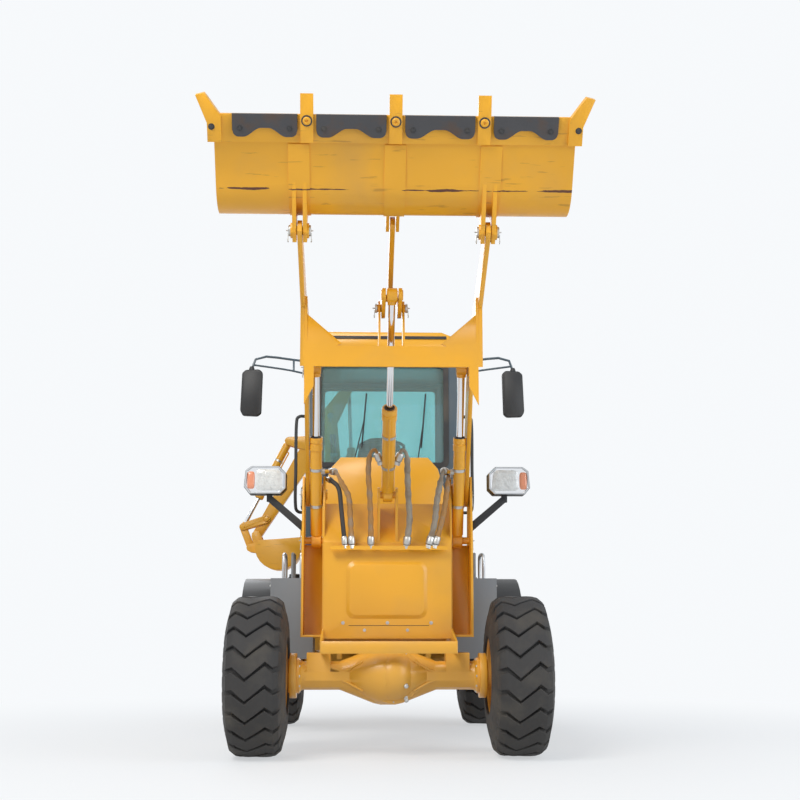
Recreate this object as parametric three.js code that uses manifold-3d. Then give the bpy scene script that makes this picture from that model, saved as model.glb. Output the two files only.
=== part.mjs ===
// Backhoe loader with an articulated chassis: loader bucket raised in front, backhoe swung aside at the rear.
// Millimetres, +Z up, -Y is the front of the machine, +X its left side.
// Lengths are laid out from the chassis pivot (x = y = 0) with the ground at z = 0.

import * as THREE from "three";
import { mergeVertices } from "three/addons/utils/BufferGeometryUtils.js";
import Module from "manifold-3d";

const wasm = await Module();
wasm.setup();

// ---------------------------------------------------------------- driving dimensions

const gap = 0.4; // between pieces that touch
const clearance = 6; // between pieces that move past each other
const pinPlay = 2.4; // radial play of a pin in its bore

// wheels and axles
const frontAxleY = -1250;
const rearAxleY = 1350;
const tyreRadius = 537;
const tyreWidth = 420;
const beadRadius = 262;
const wheelCentreX = 885;
const wheelSides = 20;
const axleTubeRadius = 95;
const differentialRadius = 190;

// loader towers on the front frame
const towerPlate = 15;
const towerFrontY = -1050;
const towerFootZ = 790;
const towerChannelZ = 1440;
const towerTopZ = 1920;

// loader arm and its pins, as [y, z]
const armPivot = [-880, 1800];
const bucketPivot = [-2650, 3240];
const liftBase = [-880, 1470];
const liftPin = [-1380, 2640];
const armPlate = 28;
const armOuterX = 584;
const towerInnerX = armOuterX - 141;
const towerOuterX = armOuterX + 22;
const liftX = armOuterX - 77;
const rockerPivot = [-2010, 2915];
const tiltBase = [-1100, 1780];
const tiltArm = 220;
const tiltArmRise = 9;
const bucketCrank = [55, 380];
const bucketRollback = 58;
const crossPlate = [[-2128, 2506], [-2128, 2640]];
const pinRadius = 26;

// cylinders
const liftTubeRadius = 42;
const liftTubeLength = 770;
const liftRodRadius = 25;
const tiltTubeRadius = 47;
const tiltTubeLength = 750;
const tiltRodRadius = 22;
const hoeTubeRadius = 40;
const hoeRodRadius = 21;
const tubeWall = 8;

// loader bucket
const bucketWidth = 2130;
const bucketPlate = 14;
const bucketDrop = 20;
const bucketSetback = 55;
const bucketLip = 690;
const bucketHeelRadius = 220;
const bucketBackHeight = 660;
const toothPitch = 520;
const toothReach = 132;
const cornerToothX = 1162;
const toothHalfWidth = 38;

// chassis, hood and cab
const railOuterX = 400;
const railWidth = 80;
const rearFrameEndY = 2350;
const hoodFrontY = 90;
const hoodRearY = 950;
const hoodHalfWidth = 530;
const hoodTopHalfWidth = 430;
const hoodFootZ = 1290;
const hoodShoulderZ = 1780;
const hoodTopZ = 2190;
const hoodSheet = 18;
const cabFrontY = 985;
const cabRearY = 2230;
const cabHalfWidth = 660;
const cabFloorZ = 1480;
const cabHeight = 1750;
const cabTopZ = cabFloorZ + cabHeight;
const roofThickness = 170;
const doorThickness = 44;
const glass = 6;
const tankInnerX = 560;
const tankOuterX = 900;
const fenderInnerX = 690;
const fenderOuterX = 1190;

// backhoe, as [distance out from the swing axis, height]
const swingPinY = 2660;
const hoePlaneY = swingPinY;
const hoeFoot = [340, 860];
const hoeElbow = [490, 2910];
const hoeTail = [305, 3218];
const hoeWrist = [1210, 1711];
const boomHalfWidth = 70;
const dipperHalfWidth = 50;
const guideFromWrist = 190;
const bucketLinkPin = [1262, 1590];
const guideLength = 245;
const hoeLinkLength = 225;
const hoeBucketWidth = 400;
const stabilizerX = 930;

// ---------------------------------------------------------------- solids

function solid(geometry) {
  const shape = geometry.clone();
  shape.deleteAttribute("normal");
  shape.deleteAttribute("uv");
  const merged = mergeVertices(shape, 1e-3);
  const mesh = new wasm.Mesh({
    numProp: 3,
    vertProperties: new Float32Array(merged.attributes.position.array),
    triVerts: new Uint32Array(merged.index.array),
  });
  return new wasm.Manifold(mesh);
}

function geometryOf(manifold) {
  const mesh = manifold.getMesh();
  const geometry = new THREE.BufferGeometry();
  geometry.setAttribute("position", new THREE.BufferAttribute(mesh.vertProperties, 3));
  geometry.setIndex(new THREE.BufferAttribute(mesh.triVerts, 1));
  geometry.computeVertexNormals();
  return geometry;
}

function join(...pieces) {
  return pieces.flat(3).reduce((whole, piece) => whole.add(piece));
}

function cut(whole, ...tools) {
  return tools.flat(3).reduce((rest, tool) => rest.subtract(tool), whole);
}

function box(x0, x1, y0, y1, z0, z1) {
  const geometry = new THREE.BoxGeometry(Math.abs(x1 - x0), Math.abs(y1 - y0), Math.abs(z1 - z0));
  geometry.translate((x0 + x1) / 2, (y0 + y1) / 2, (z0 + z1) / 2);
  return solid(geometry);
}

// An outline extruded along one axis. Its points are [y, z] along X, [x, z] along Y and [x, y] along Z.
function slab(outline, axis, from, to) {
  const shape = new THREE.Shape(outline.map(([u, v]) => new THREE.Vector2(u, v)));
  const depth = Math.abs(to - from);
  const geometry = new THREE.ExtrudeGeometry(shape, { depth, bevelEnabled: false });
  const x = new THREE.Vector3(1, 0, 0);
  const y = new THREE.Vector3(0, 1, 0);
  const z = new THREE.Vector3(0, 0, 1);
  const turn = new THREE.Matrix4();
  if (axis === "x") turn.makeBasis(y, z, x);
  if (axis === "y") turn.makeBasis(x, z, y.negate());
  geometry.applyMatrix4(turn);
  const start = Math.min(from, to);
  if (axis === "x") geometry.translate(start, 0, 0);
  if (axis === "y") geometry.translate(0, start + depth, 0);
  if (axis === "z") geometry.translate(0, 0, start);
  return solid(geometry);
}

function arc(centre, radius, from, to, steps) {
  return Array.from({ length: steps + 1 }, (_, i) => {
    const angle = from + ((to - from) * i) / steps;
    return [centre[0] + radius * Math.cos(angle), centre[1] + radius * Math.sin(angle)];
  });
}

// The outline of two circles [u, v, radius] and the straight tangents between them.
function capsule(a, b, steps = 4) {
  const span = Math.hypot(b[0] - a[0], b[1] - a[1]);
  const lean = Math.atan2(b[1] - a[1], b[0] - a[0]);
  const open = Math.acos((a[2] - b[2]) / span);
  return [
    ...arc(a, a[2], lean + open, lean + 2 * Math.PI - open, steps),
    ...arc(b, b[2], lean - open, lean + open, steps),
  ];
}

// A flat bar through a row of circles.
function bar(circles, axis, from, to) {
  return join(circles.slice(1).map((circle, i) => slab(capsule(circles[i], circle), axis, from, to)));
}

function disc(centre, radius, axis, from, to, sides = 10) {
  const turn = Math.PI / sides;
  return slab(arc(centre, radius, turn, turn + 2 * Math.PI, sides).slice(0, -1), axis, from, to);
}

function rod(start, end, radius, sides = 10) {
  const a = new THREE.Vector3(...start);
  const b = new THREE.Vector3(...end);
  const geometry = new THREE.CylinderGeometry(radius, radius, a.distanceTo(b), sides);
  const turn = new THREE.Quaternion().setFromUnitVectors(new THREE.Vector3(0, 1, 0), b.clone().sub(a).normalize());
  geometry.applyQuaternion(turn);
  geometry.translate((a.x + b.x) / 2, (a.y + b.y) / 2, (a.z + b.z) / 2);
  return solid(geometry);
}

// A profile of [distance along X, radius] turned about the X axis.
function turned(profile, sides) {
  const points = profile.map(([along, radius]) => new THREE.Vector2(radius, along));
  const geometry = new THREE.LatheGeometry(points, sides);
  geometry.rotateY(Math.PI / sides);
  geometry.rotateZ(-Math.PI / 2);
  return geometry;
}

function tube(points, radius, sides = 6, steps = 7) {
  const curve = new THREE.CatmullRomCurve3(points.map((point) => new THREE.Vector3(...point)));
  const section = new THREE.Shape(arc([0, 0], radius, 0, 2 * Math.PI, sides).slice(0, -1)
    .map(([u, v]) => new THREE.Vector2(u, v)));
  return solid(new THREE.ExtrudeGeometry(section, { steps, extrudePath: curve, bevelEnabled: false }));
}

function move(piece, x, y, z) {
  return piece.translate([x, y, z]);
}

// ---------------------------------------------------------------- materials and the assembly

const finishes = {
  yellow: { color: 0xe8a317, roughness: 0.42, metalness: 0.1 },
  black: { color: 0x1c1d1f, roughness: 0.6, metalness: 0 },
  grey: { color: 0x6c7176, roughness: 0.5, metalness: 0.2 },
  slate: { color: 0x3a4650, roughness: 0.5, metalness: 0.1 },
  rubber: { color: 0x26272a, roughness: 0.9, metalness: 0 },
  chrome: { color: 0xc9ccd0, roughness: 0.15, metalness: 1 },
  glass: { color: 0xa9dbe0, roughness: 0.05, metalness: 0 },
  iron: { color: 0x4a4a4c, roughness: 0.7, metalness: 0.5 },
  fabric: { color: 0x2d2e31, roughness: 0.95, metalness: 0 },
};

const machine = new THREE.Group();

function add(name, shape, finish) {
  const geometry = shape.isBufferGeometry ? shape : geometryOf(shape);
  const mesh = new THREE.Mesh(geometry, new THREE.MeshStandardMaterial(finishes[finish]));
  mesh.name = name;
  machine.add(mesh);
  return mesh;
}

const sides = [["left", 1], ["right", -1]];
const ahead = (point, direction, distance) => point.map((value, i) => value + direction[i] * distance);

function span(a, b) {
  const length = Math.hypot(b[0] - a[0], b[1] - a[1]);
  return { length, direction: [(b[0] - a[0]) / length, (b[1] - a[1]) / length] };
}

// A hydraulic cylinder in a side plane. place([u, v], w) puts a plane point at w across the plane.
function cylinder(base, pin, size) {
  const { length, direction } = span(base, pin);
  const { place, axis, across, radius, rodRadius, tubeLength, eye, boreAt, insert } = size;
  const at = (distance) => place(ahead(base, direction, distance), across);
  const eyeFrom = across - size.eyeWidth / 2;
  const eyeTo = across + size.eyeWidth / 2;
  const flip = (point) => (axis === "y" ? [-point[0], point[1]] : point);
  let barrel = join(
    rod(at(eye * 0.7), at(tubeLength), radius),
    rod(at(tubeLength - 70), at(tubeLength), radius + 6),
    disc(flip(base), eye, axis, eyeFrom, eyeTo),
  );
  barrel = cut(
    barrel,
    rod(at(eye + 12), at(tubeLength + 1), rodRadius + tubeWall - 2),
    disc(flip(base), boreAt + pinPlay, axis, eyeFrom - 1, eyeTo + 1),
  );
  const piston = join(
    rod(at(insert), at(length - eye * 0.5), rodRadius),
    disc(flip(pin), eye * 0.9, axis, eyeFrom, eyeTo),
  );
  return { barrel, piston };
}

// ---------------------------------------------------------------- wheels and axles

// The lathe has a flat at the bottom, so the tyre stands on a facet at its real radius.
const tyreProfile = [
  [-150, beadRadius], [-205, 330], [-210, 470], [-188, tyreRadius], [188, tyreRadius],
  [210, 470], [205, 330], [150, beadRadius], [-150, beadRadius],
].map(([along, radius]) => [(along * tyreWidth) / 420, radius / Math.cos(Math.PI / wheelSides)]);
const rimRadius = (beadRadius - gap) / Math.cos(Math.PI / wheelSides);
const rimProfile = [
  [-215, 0], [-215, 105], [-40, 105], [-25, 225], [-150, rimRadius],
  [150, rimRadius], [10, 225], [25, 120], [70, 105], [70, 0],
];

function addWheel(name, x, y) {
  for (const [part, profile, finish] of [["tyre", tyreProfile, "rubber"], ["rim", rimProfile, "yellow"]]) {
    const geometry = turned(profile, wheelSides);
    const shape = solid(x > 0 ? geometry : geometry.clone().rotateZ(Math.PI));
    const wheel = add(`${name}_${part}`, shape, finish);
    wheel.position.set(x, y, tyreRadius);
  }
}

for (const [side, sign] of sides) {
  addWheel(`front_${side}`, sign * wheelCentreX, frontAxleY);
  addWheel(`rear_${side}`, sign * wheelCentreX, rearAxleY);
}

const axleEnd = wheelCentreX - 215 - clearance;

function axle(y, saddleX, saddleTopZ) {
  const z = tyreRadius;
  const differential = solid(turned([
    [-260, 0], [-260, axleTubeRadius], [-150, 150], [-60, differentialRadius],
    [60, differentialRadius], [150, 150], [260, axleTubeRadius], [260, 0],
  ], 16));
  const flanges = [-1, 1].map((sign) => rod([sign * (axleEnd - 45), y, z], [sign * axleEnd, y, z], 150, 24));
  const saddles = [-1, 1].map((sign) =>
    box(sign * (saddleX - 80), sign * (saddleX + 80), y - 90, y + 90, z, saddleTopZ - gap));
  const nose = rod([0, y, z], [0, y + (y < 0 ? 300 : -300), z + 20], 75);
  return join(rod([-axleEnd, y, z], [axleEnd, y, z], axleTubeRadius), move(differential, 0, y, z),
    flanges, saddles, nose);
}

const frontSaddleX = 470;
const saddleTopZ = 690;
add("front_axle", axle(frontAxleY, frontSaddleX, saddleTopZ), "yellow");
add("rear_axle", axle(rearAxleY, railOuterX - railWidth / 2, saddleTopZ), "yellow");

// ---------------------------------------------------------------- front frame with the loader towers

const outerTower = [
  [towerFrontY, towerFootZ], [-560, towerFootZ], [-690, 1300], [-760, towerTopZ],
  [-1000, towerTopZ], [towerFrontY, towerChannelZ + 60],
];
const innerTower = [
  [-1500, saddleTopZ], [-520, saddleTopZ], [-560, towerFootZ], [-690, 1300], [-760, towerTopZ],
  [-1000, towerTopZ], [towerFrontY, towerChannelZ + 60], [towerFrontY, towerFootZ + 60], [-1500, towerFootZ - 20],
];
const pinShoulder = towerOuterX + 14;
const towers = [-1, 1].map((sign) => [
  slab(outerTower, "x", sign * (towerOuterX - towerPlate), sign * towerOuterX),
  slab(innerTower, "x", sign * towerInnerX, sign * (towerInnerX + towerPlate)),
  box(sign * towerInnerX, sign * towerOuterX, -815, -800, towerFootZ, towerChannelZ),
  box(sign * towerInnerX, sign * towerOuterX, towerFrontY, -570, towerFootZ, towerFootZ + towerPlate),
  disc(armPivot, pinRadius + 10, "x", sign * (towerInnerX - 12), sign * (towerInnerX + towerPlate)),
  disc(armPivot, pinRadius, "x", sign * towerInnerX, sign * pinShoulder),
  disc(liftBase, pinRadius, "x", sign * towerInnerX, sign * pinShoulder),
]);
const ledge = [
  [-1080, 780], [-1062, 780], [-1062, 1440], [-850, 1720], [-600, 1720], [-600, 1736], [-860, 1736], [-1080, 1447],
];
const tiltEar = [[-1072, 1440], [-880, 1700], [tiltBase[0] + 40, tiltBase[1] + 25], [tiltBase[0] - 50, tiltBase[1] - 10]];
const tiltEarX = [54, 72];
const tiltEars = [-1, 1].map((sign) => [
  slab(tiltEar, "x", sign * tiltEarX[0], sign * tiltEarX[1]),
  disc(tiltBase, 52, "x", sign * tiltEarX[0], sign * tiltEarX[1]),
]);
const tongue = cut(
  join(
    box(-140, 140, -540, -60, 720, 900),
    rod([0, 0, 720], [0, 0, 900], 120, 20),
    box(-(towerInnerX + towerPlate), towerInnerX + towerPlate, -560, -520, saddleTopZ, 1000),
  ),
  rod([0, 0, 700], [0, 0, 920], 40 + pinPlay, 20),
);
const steerX = -170;
const frontSteerPin = [steerX, -330];
const rearSteerPin = [steerX, 330];
const steerZ = 1010;
const frontSteerLug = join(
  box(steerX - 40, steerX + 40, -560, frontSteerPin[1], 930, 955),
  rod([...frontSteerPin, 930], [...frontSteerPin, 955], 40, 16),
);
const frontFrame = join(
  towers,
  slab(ledge, "x", -towerInnerX - 5, towerInnerX + 5),
  box(-towerInnerX - 5, towerInnerX + 5, -1500, -1485, saddleTopZ, towerFootZ - 20),
  box(-towerInnerX - 5, towerInnerX + 5, -1080, -560, 780, 796),
  tiltEars,
  rod([-tiltEarX[1], ...tiltBase], [tiltEarX[1], ...tiltBase], pinRadius),
  tongue,
  frontSteerLug,
);
add("front_frame", frontFrame, "yellow");

// headlamps on bent stalks, outboard of the towers
const lampX = 872;
const lampY = -960;
const lampZ = 1890;
for (const [side, sign] of sides) {
  const lens = [[-150, -60], [-110, -100], [110, -100], [150, -50], [140, 70], [100, 100], [-100, 100], [-150, 50]];
  const outline = lens.map(([u, v]) => [sign * lampX + sign * u, lampZ + v]);
  const lamp = join(
    slab(outline, "y", lampY - 70, lampY + 70),
    box(sign * (lampX - 50), sign * (lampX - 10), lampY - 20, lampY + 20, lampZ - 150, lampZ - 90),
    slab(
      [[lampX - 10, lampZ - 140], [lampX - 50, lampZ - 110], [towerOuterX + gap, 1600], [towerOuterX + gap, 1530]]
        .map(([u, v]) => [sign * u, v]),
      "y", lampY - 20, lampY + 20,
    ),
  );
  add(`headlamp_${side}`, lamp, "black");
}

// ---------------------------------------------------------------- loader arm, rocker, link and bucket

const rollback = THREE.MathUtils.degToRad(bucketRollback);
const crank = [
  bucketCrank[0] * Math.cos(rollback) + bucketCrank[1] * Math.sin(rollback),
  bucketCrank[1] * Math.cos(rollback) - bucketCrank[0] * Math.sin(rollback),
];
const bucketLinkTop = [bucketPivot[0] + crank[0], bucketPivot[1] + crank[1]];
const rockerTop = [rockerPivot[0] + crank[0], rockerPivot[1] + crank[1]];
const tiltRise = THREE.MathUtils.degToRad(tiltArmRise);
const tiltPin = [rockerPivot[0] - tiltArm * Math.cos(tiltRise), rockerPivot[1] + tiltArm * Math.sin(tiltRise)];

const armLine = [
  [...armPivot, 90], [-1290, 2520, 125], [-1560, 2745, 128], [-2080, 2990, 112], [...bucketPivot, 62],
];
const armInnerX = armOuterX - armPlate;
const armSides = [-1, 1].map((sign) => cut(
  join(
    bar(armLine, "x", sign * armInnerX, sign * armOuterX),
    disc(armPivot, 80, "x", sign * (towerInnerX + towerPlate + clearance), sign * armOuterX),
    disc(liftPin, 55, "x", sign * (armInnerX - 8), sign * armInnerX),
    slab([[-1700, 2640], [-2120, 2500], [-2128, 2640], [-2140, 2960], [-1900, 2900]], "x",
      sign * (armInnerX - 16), sign * armInnerX),
    slab([[-1700, 2640], [-2128, 2506], [-2128, 2900], [-1800, 2860]], "x", sign * armInnerX, sign * armOuterX),
  ),
  disc(armPivot, pinRadius + pinPlay, "x", sign * towerInnerX, sign * (armOuterX + 1)),
  disc(bucketPivot, pinRadius + pinPlay, "x", sign * (armInnerX - 1), sign * (armOuterX + 1)),
));
const gussets = [-1, 1].map((sign) => slab(
  [[armInnerX, 2640], [armInnerX, 2860], [320, 2655], [350, 2640]].map(([u, v]) => [sign * u, v]),
  "y", -2128, -2112,
));
const wings = [-1, 1].map((sign) => slab(
  [[armInnerX, 2506], [armInnerX, 2260], [armInnerX - 60, 2380], [armInnerX - 60, 2506]]
    .map(([u, v]) => [sign * u, v]),
  "y", -2128, -2112,
));
const rockerEar = [
  [-2128, 2600], [-2128, 2700], [rockerPivot[0] - 48, rockerPivot[1] + 10],
  [rockerPivot[0] + 48, rockerPivot[1] + 10], [-1940, 2640], [-2000, 2600],
];
const rockerEars = [-1, 1].map((sign) => [
  slab(rockerEar, "x", sign * 71, sign * 85),
  disc(rockerPivot, 48, "x", sign * 71, sign * 85),
  disc(rockerPivot, pinRadius, "x", sign * 44, sign * 96),
]);
const loaderArm = join(
  armSides,
  box(-armInnerX, armInnerX, crossPlate[0][0], -2106, crossPlate[0][1], crossPlate[1][1]),
  box(-armInnerX, armInnerX, crossPlate[0][0], -2015, crossPlate[1][1] - 18, crossPlate[1][1]),
  gussets,
  wings,
  rockerEars,
);
add("loader_arm", loaderArm, "yellow");

const rockerPlates = [-1, 1].map((sign) => cut(
  bar([[...rockerTop, 52], [...rockerPivot, 68], [...tiltPin, 48]], "x", sign * 40, sign * 64),
  disc(rockerPivot, pinRadius + pinPlay, "x", sign * 30, sign * 70),
));
const rocker = join(
  rockerPlates,
  rod([-64, ...rockerTop], [64, ...rockerTop], pinRadius),
  [-1, 1].map((sign) => disc(tiltPin, 34, "x", sign * 60, sign * 70)),
);
add("rocker", rocker, "yellow");

const linkHalf = 16;
const bucketLink = cut(
  bar([[...rockerTop, 48], [...ahead(rockerTop, span(rockerTop, bucketLinkTop).direction, 90), 30],
    [...ahead(bucketLinkTop, span(bucketLinkTop, rockerTop).direction, 90), 30], [...bucketLinkTop, 46]],
  "x", -linkHalf, linkHalf),
  disc(rockerTop, pinRadius + pinPlay, "x", -linkHalf - 1, linkHalf + 1),
);
add("bucket_link", bucketLink, "yellow");

// The bucket is drawn level about its hinge at [0, 0] and rolled back on it.
const heelCentre = [-(bucketHeelRadius + bucketSetback), bucketHeelRadius - bucketDrop];
const shellOuter = [
  [-bucketLip, -bucketDrop],
  ...arc(heelCentre, bucketHeelRadius, -Math.PI / 2, 0.06, 8),
  [heelCentre[0] + bucketHeelRadius - 60, bucketBackHeight],
  [heelCentre[0] + bucketHeelRadius - 110, bucketBackHeight + 40],
];
const shellInner = [
  [heelCentre[0] + bucketHeelRadius - 120, bucketBackHeight + 30],
  [heelCentre[0] + bucketHeelRadius - 60 - bucketPlate, bucketBackHeight - 6],
  ...arc(heelCentre, bucketHeelRadius - bucketPlate, 0.06, -Math.PI / 2, 8),
  [-bucketLip, -bucketDrop + bucketPlate],
];
const half = bucketWidth / 2;
const cheek = [
  [-bucketLip + 10, -bucketDrop], ...arc(heelCentre, bucketHeelRadius, -Math.PI / 2, 0.06, 8),
  [heelCentre[0] + bucketHeelRadius - 60, bucketBackHeight], [-170, bucketBackHeight + 35],
  [-320, bucketBackHeight - 60], [-500, 200], [-bucketLip + 10, 10],
];
const tooth = [
  [-bucketLip - toothReach, -bucketDrop + 14], [-bucketLip - toothReach, -bucketDrop + 4], [-bucketLip, -bucketDrop - 26],
  [-bucketLip + 150, -bucketDrop - 26], [-bucketLip + 150, -bucketDrop + 4], [-bucketLip, -bucketDrop + 24],
];
const cornerTooth = [
  [half - 46, -bucketLip + 150], [half - 46, -bucketLip], [cornerToothX - 66, -bucketLip - toothReach + 20],
  [cornerToothX - 50, -bucketLip - toothReach], [cornerToothX, -bucketLip - toothReach + 12],
  [half + 36, -bucketLip + 40], [half + 36, -bucketLip + 150],
];
const bucketEarX = [armInnerX - 30, armInnerX - clearance, armOuterX + clearance, armOuterX + 30];
const hingeEar = [
  [-300, -bucketDrop + 4], [-300, -bucketDrop - 6], [-40, -bucketDrop - 28], [62, -40], [62, 30],
  [10 - bucketSetback, 110], [-bucketSetback, 260], [-bucketSetback - 30, 260],
];
const loaderBucket = join(
  slab([...shellOuter, ...shellInner], "x", -half, half),
  [-1, 1].map((sign) => slab(cheek, "x", sign * (half - bucketPlate), sign * half)),
  box(-half - 35, half + 35, -bucketLip - 14, -bucketLip + 150, -bucketDrop - 12, -bucketDrop + 12),
  [-1, 0, 1].map((place) => slab(tooth, "x", place * toothPitch - toothHalfWidth, place * toothPitch + toothHalfWidth)),
  [-1, 1].map((sign) => slab(cornerTooth.map(([x, y]) => [sign * x, y]), "z", -bucketDrop - 26, -bucketDrop + 24)),
  [-1, 1].map((sign) => [
    slab(hingeEar, "x", sign * bucketEarX[0], sign * bucketEarX[1]),
    slab(hingeEar, "x", sign * bucketEarX[2], sign * bucketEarX[3]),
    disc([0, 0], pinRadius, "x", sign * (bucketEarX[0] - 12), sign * (bucketEarX[3] + 12)),
    disc([0, 0], 46, "x", sign * (bucketEarX[0] - 12), sign * bucketEarX[1]),
    disc([0, 0], 46, "x", sign * bucketEarX[2], sign * (bucketEarX[3] + 12)),
  ]),
  [-1, 1].map((sign) => slab(
    [[-bucketSetback - 30, 250], [bucketCrank[0] - 40, bucketCrank[1] - 60], [bucketCrank[0] + 45, bucketCrank[1] - 20],
      [bucketCrank[0] + 30, bucketCrank[1] + 40], [-bucketSetback - 60, 560]],
    "x", sign * (linkHalf + clearance), sign * (linkHalf + clearance + 20),
  )),
);
const bucketMesh = add("loader_bucket", loaderBucket, "yellow");
bucketMesh.position.set(0, bucketPivot[0], bucketPivot[1]);
bucketMesh.rotation.x = -rollback;

// lift cylinders beside the arm plates, tilt cylinder on the centre line
const sidePlane = ([y, z], x) => [x, y, z];
for (const [side, sign] of sides) {
  const lift = cylinder(liftBase, liftPin, {
    place: sidePlane, axis: "x", across: sign * liftX, radius: liftTubeRadius, rodRadius: liftRodRadius,
    tubeLength: liftTubeLength, eye: 52, eyeWidth: 70, boreAt: pinRadius, insert: 690,
  });
  add(`lift_barrel_${side}`, lift.barrel, "yellow");
  add(`lift_rod_${side}`, lift.piston, "chrome");
}
const tilt = cylinder(tiltBase, tiltPin, {
  place: sidePlane, axis: "x", across: 0, radius: tiltTubeRadius, rodRadius: tiltRodRadius,
  tubeLength: tiltTubeLength, eye: 50, eyeWidth: 66, boreAt: pinRadius, insert: 620,
});
add("tilt_barrel", tilt.barrel, "yellow");
add("tilt_rod", tilt.piston, "chrome");

// ---------------------------------------------------------------- rear chassis

const railFootZ = saddleTopZ;
const railTopZ = 900;
const rails = [-1, 1].map((sign) =>
  box(sign * (railOuterX - railWidth), sign * railOuterX, 230, rearFrameEndY, railFootZ, railTopZ));
const forkPlates = [[railFootZ - 25, 712], [908, 936]].map(([z0, z1]) => join(
  slab([[-120, 0], [120, 0], [320, 230], [320, 420], [-320, 420], [-320, 230]], "z", z0, z1),
  rod([0, 0, z0], [0, 0, z1], 120, 20),
));
const rearSteerLug = join(
  box(steerX - 40, steerX + 40, rearSteerPin[1], 430, 930, 955),
  rod([...rearSteerPin, 930], [...rearSteerPin, 955], 40, 16),
);
const stabilizerSleeve = (sign) => cut(
  box(sign * (stabilizerX - 75), sign * (stabilizerX + 75), 2300, 2440, 500, 1180),
  box(sign * (stabilizerX - 61), sign * (stabilizerX + 61), 2314, 2426, 499, 1160),
);
const rearFrame = join(
  rails,
  forkPlates,
  rod([0, 0, railFootZ - 25], [0, 0, 936], 40, 20),
  rearSteerLug,
  box(-railOuterX, railOuterX, 400, 430, railFootZ - 25, 936),
  box(-railOuterX, railOuterX, 1600, 1640, railFootZ, railTopZ),
  box(-stabilizerX + 70, stabilizerX - 70, 2340, 2380, 560, 1140),
  [-1, 1].map((sign) => stabilizerSleeve(sign)),
  [-1, 1].map((sign) => box(sign * 300, sign * tankInnerX, 300, 340, 760, 800)),
  [-1, 1].map((sign) => box(sign * 300, sign * tankInnerX, 560, 600, 760, 800)),
  [-1, 1].map((sign) => box(sign * 300, sign * (fenderInnerX - 30 - gap), 1700, 1740, 860, railTopZ)),
  [-1, 1].map((sign) => box(sign * 300, sign * (fenderInnerX - 30 - gap), 930, 970, 860, railTopZ)),
  [-1, 1].map((sign) => box(sign * 300, sign * 400, 1000, 1080, railTopZ - 5, 1240 - gap)),
  [-1, 1].map((sign) => box(sign * 300, sign * 400, 2140, 2220, railTopZ - 5, 1240 - gap)),
  [-1, 1].map((sign) => box(sign * 330, sign * 370, 820, 860, railTopZ - 5, hoodFootZ - gap)),
  [-1, 1].map((sign) => box(sign * 330, sign * 370, 140, 180, railTopZ - 300, hoodFootZ - gap)),
  [-1, 1].map((sign) => box(sign * 330, sign * 370, 140, 260, railTopZ - 200, railTopZ)),
  [-1, 1].map((sign) => box(sign * 330, sign * (hoodHalfWidth - 60), 140, 860, hoodFootZ - 40, hoodFootZ - gap)),
);

const swingBrackets = [560, 1080].map((z) => join(
  slab([[-220, 2370], [220, 2370], [110, swingPinY], [-110, swingPinY]], "z", z, z + 45),
  rod([0, swingPinY, z], [0, swingPinY, z + 45], 110, 20),
));
const swingPin = rod([0, swingPinY, 560], [0, swingPinY, 1125], 35, 16);
add("rear_frame", join(rearFrame, swingBrackets, swingPin), "yellow");

add("engine_block", box(-300, 300, 430 + gap, 900, 700, 1560), "iron");

// fuel and oil tanks with the cab steps
for (const [name, sign] of [["fuel_tank", 1], ["hydraulic_tank", -1]]) {
  const body = cut(
    box(sign * (tankInnerX + gap), sign * tankOuterX, 160, 700, 600, 1230),
    box(sign * (tankOuterX - 130), sign * (tankOuterX + 1), 540, 701, 740, 900),
    box(sign * (tankOuterX - 130), sign * (tankOuterX + 1), 540, 701, 1010, 1231),
  );
  const handrail = [230, 540].map((y) => rod([sign * 730, y, 1215], [sign * 730, y, 1425], 12, 8));
  const top = tube([[sign * 730, 225, 1425], [sign * 730, 380, 1428], [sign * 730, 545, 1425]], 12, 8, 4);
  add(name, join(body, handrail, top), "grey");
}

// rear fenders over the tyres, hung from the frame rail
const fenderArch = tyreRadius + 150;
const fenderOutline = (radius, from, to, steps) =>
  arc([rearAxleY, tyreRadius + 20], radius, THREE.MathUtils.degToRad(from), THREE.MathUtils.degToRad(to), steps);
for (const [side, sign] of sides) {
  const sheet = [...fenderOutline(fenderArch + 12, 28, 152, 12), ...fenderOutline(fenderArch, 152, 28, 12)];
  const fender = join(
    slab(sheet, "x", sign * fenderInnerX, sign * fenderOuterX),
    cut(
      slab(fenderOutline(fenderArch + 12, 0, 180, 16), "x", sign * (fenderInnerX - 30), sign * fenderInnerX),
      slab(fenderOutline(fenderArch - 130, 0, 180, 16).concat([[rearAxleY - 900, 300], [rearAxleY + 900, 300]]),
        "x", sign * (fenderInnerX - 31), sign * (fenderInnerX + 1)),
      box(sign * 600, sign * 800, 0, 3000, 400, 860),
    ),
  );
  add(`fender_${side}`, fender, "black");
}

// ---------------------------------------------------------------- hood over the engine

const hoodOutline = (inset) => [
  [-hoodHalfWidth + inset, hoodFootZ - (inset ? 1 : 0)], [hoodHalfWidth - inset, hoodFootZ - (inset ? 1 : 0)],
  [hoodHalfWidth - inset, hoodShoulderZ], [hoodTopHalfWidth - inset, hoodTopZ - 90],
  [hoodTopHalfWidth - 80 - inset / 2, hoodTopZ - inset], [-hoodTopHalfWidth + 80 + inset / 2, hoodTopZ - inset],
  [-hoodTopHalfWidth + inset, hoodTopZ - 90], [-hoodHalfWidth + inset, hoodShoulderZ],
];
const hood = cut(
  slab(hoodOutline(0), "y", hoodFrontY, hoodRearY),
  slab(hoodOutline(hoodSheet), "y", hoodFrontY + hoodSheet, hoodRearY + 1),
);
add("hood", hood, "yellow");

// ---------------------------------------------------------------- cab

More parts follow.
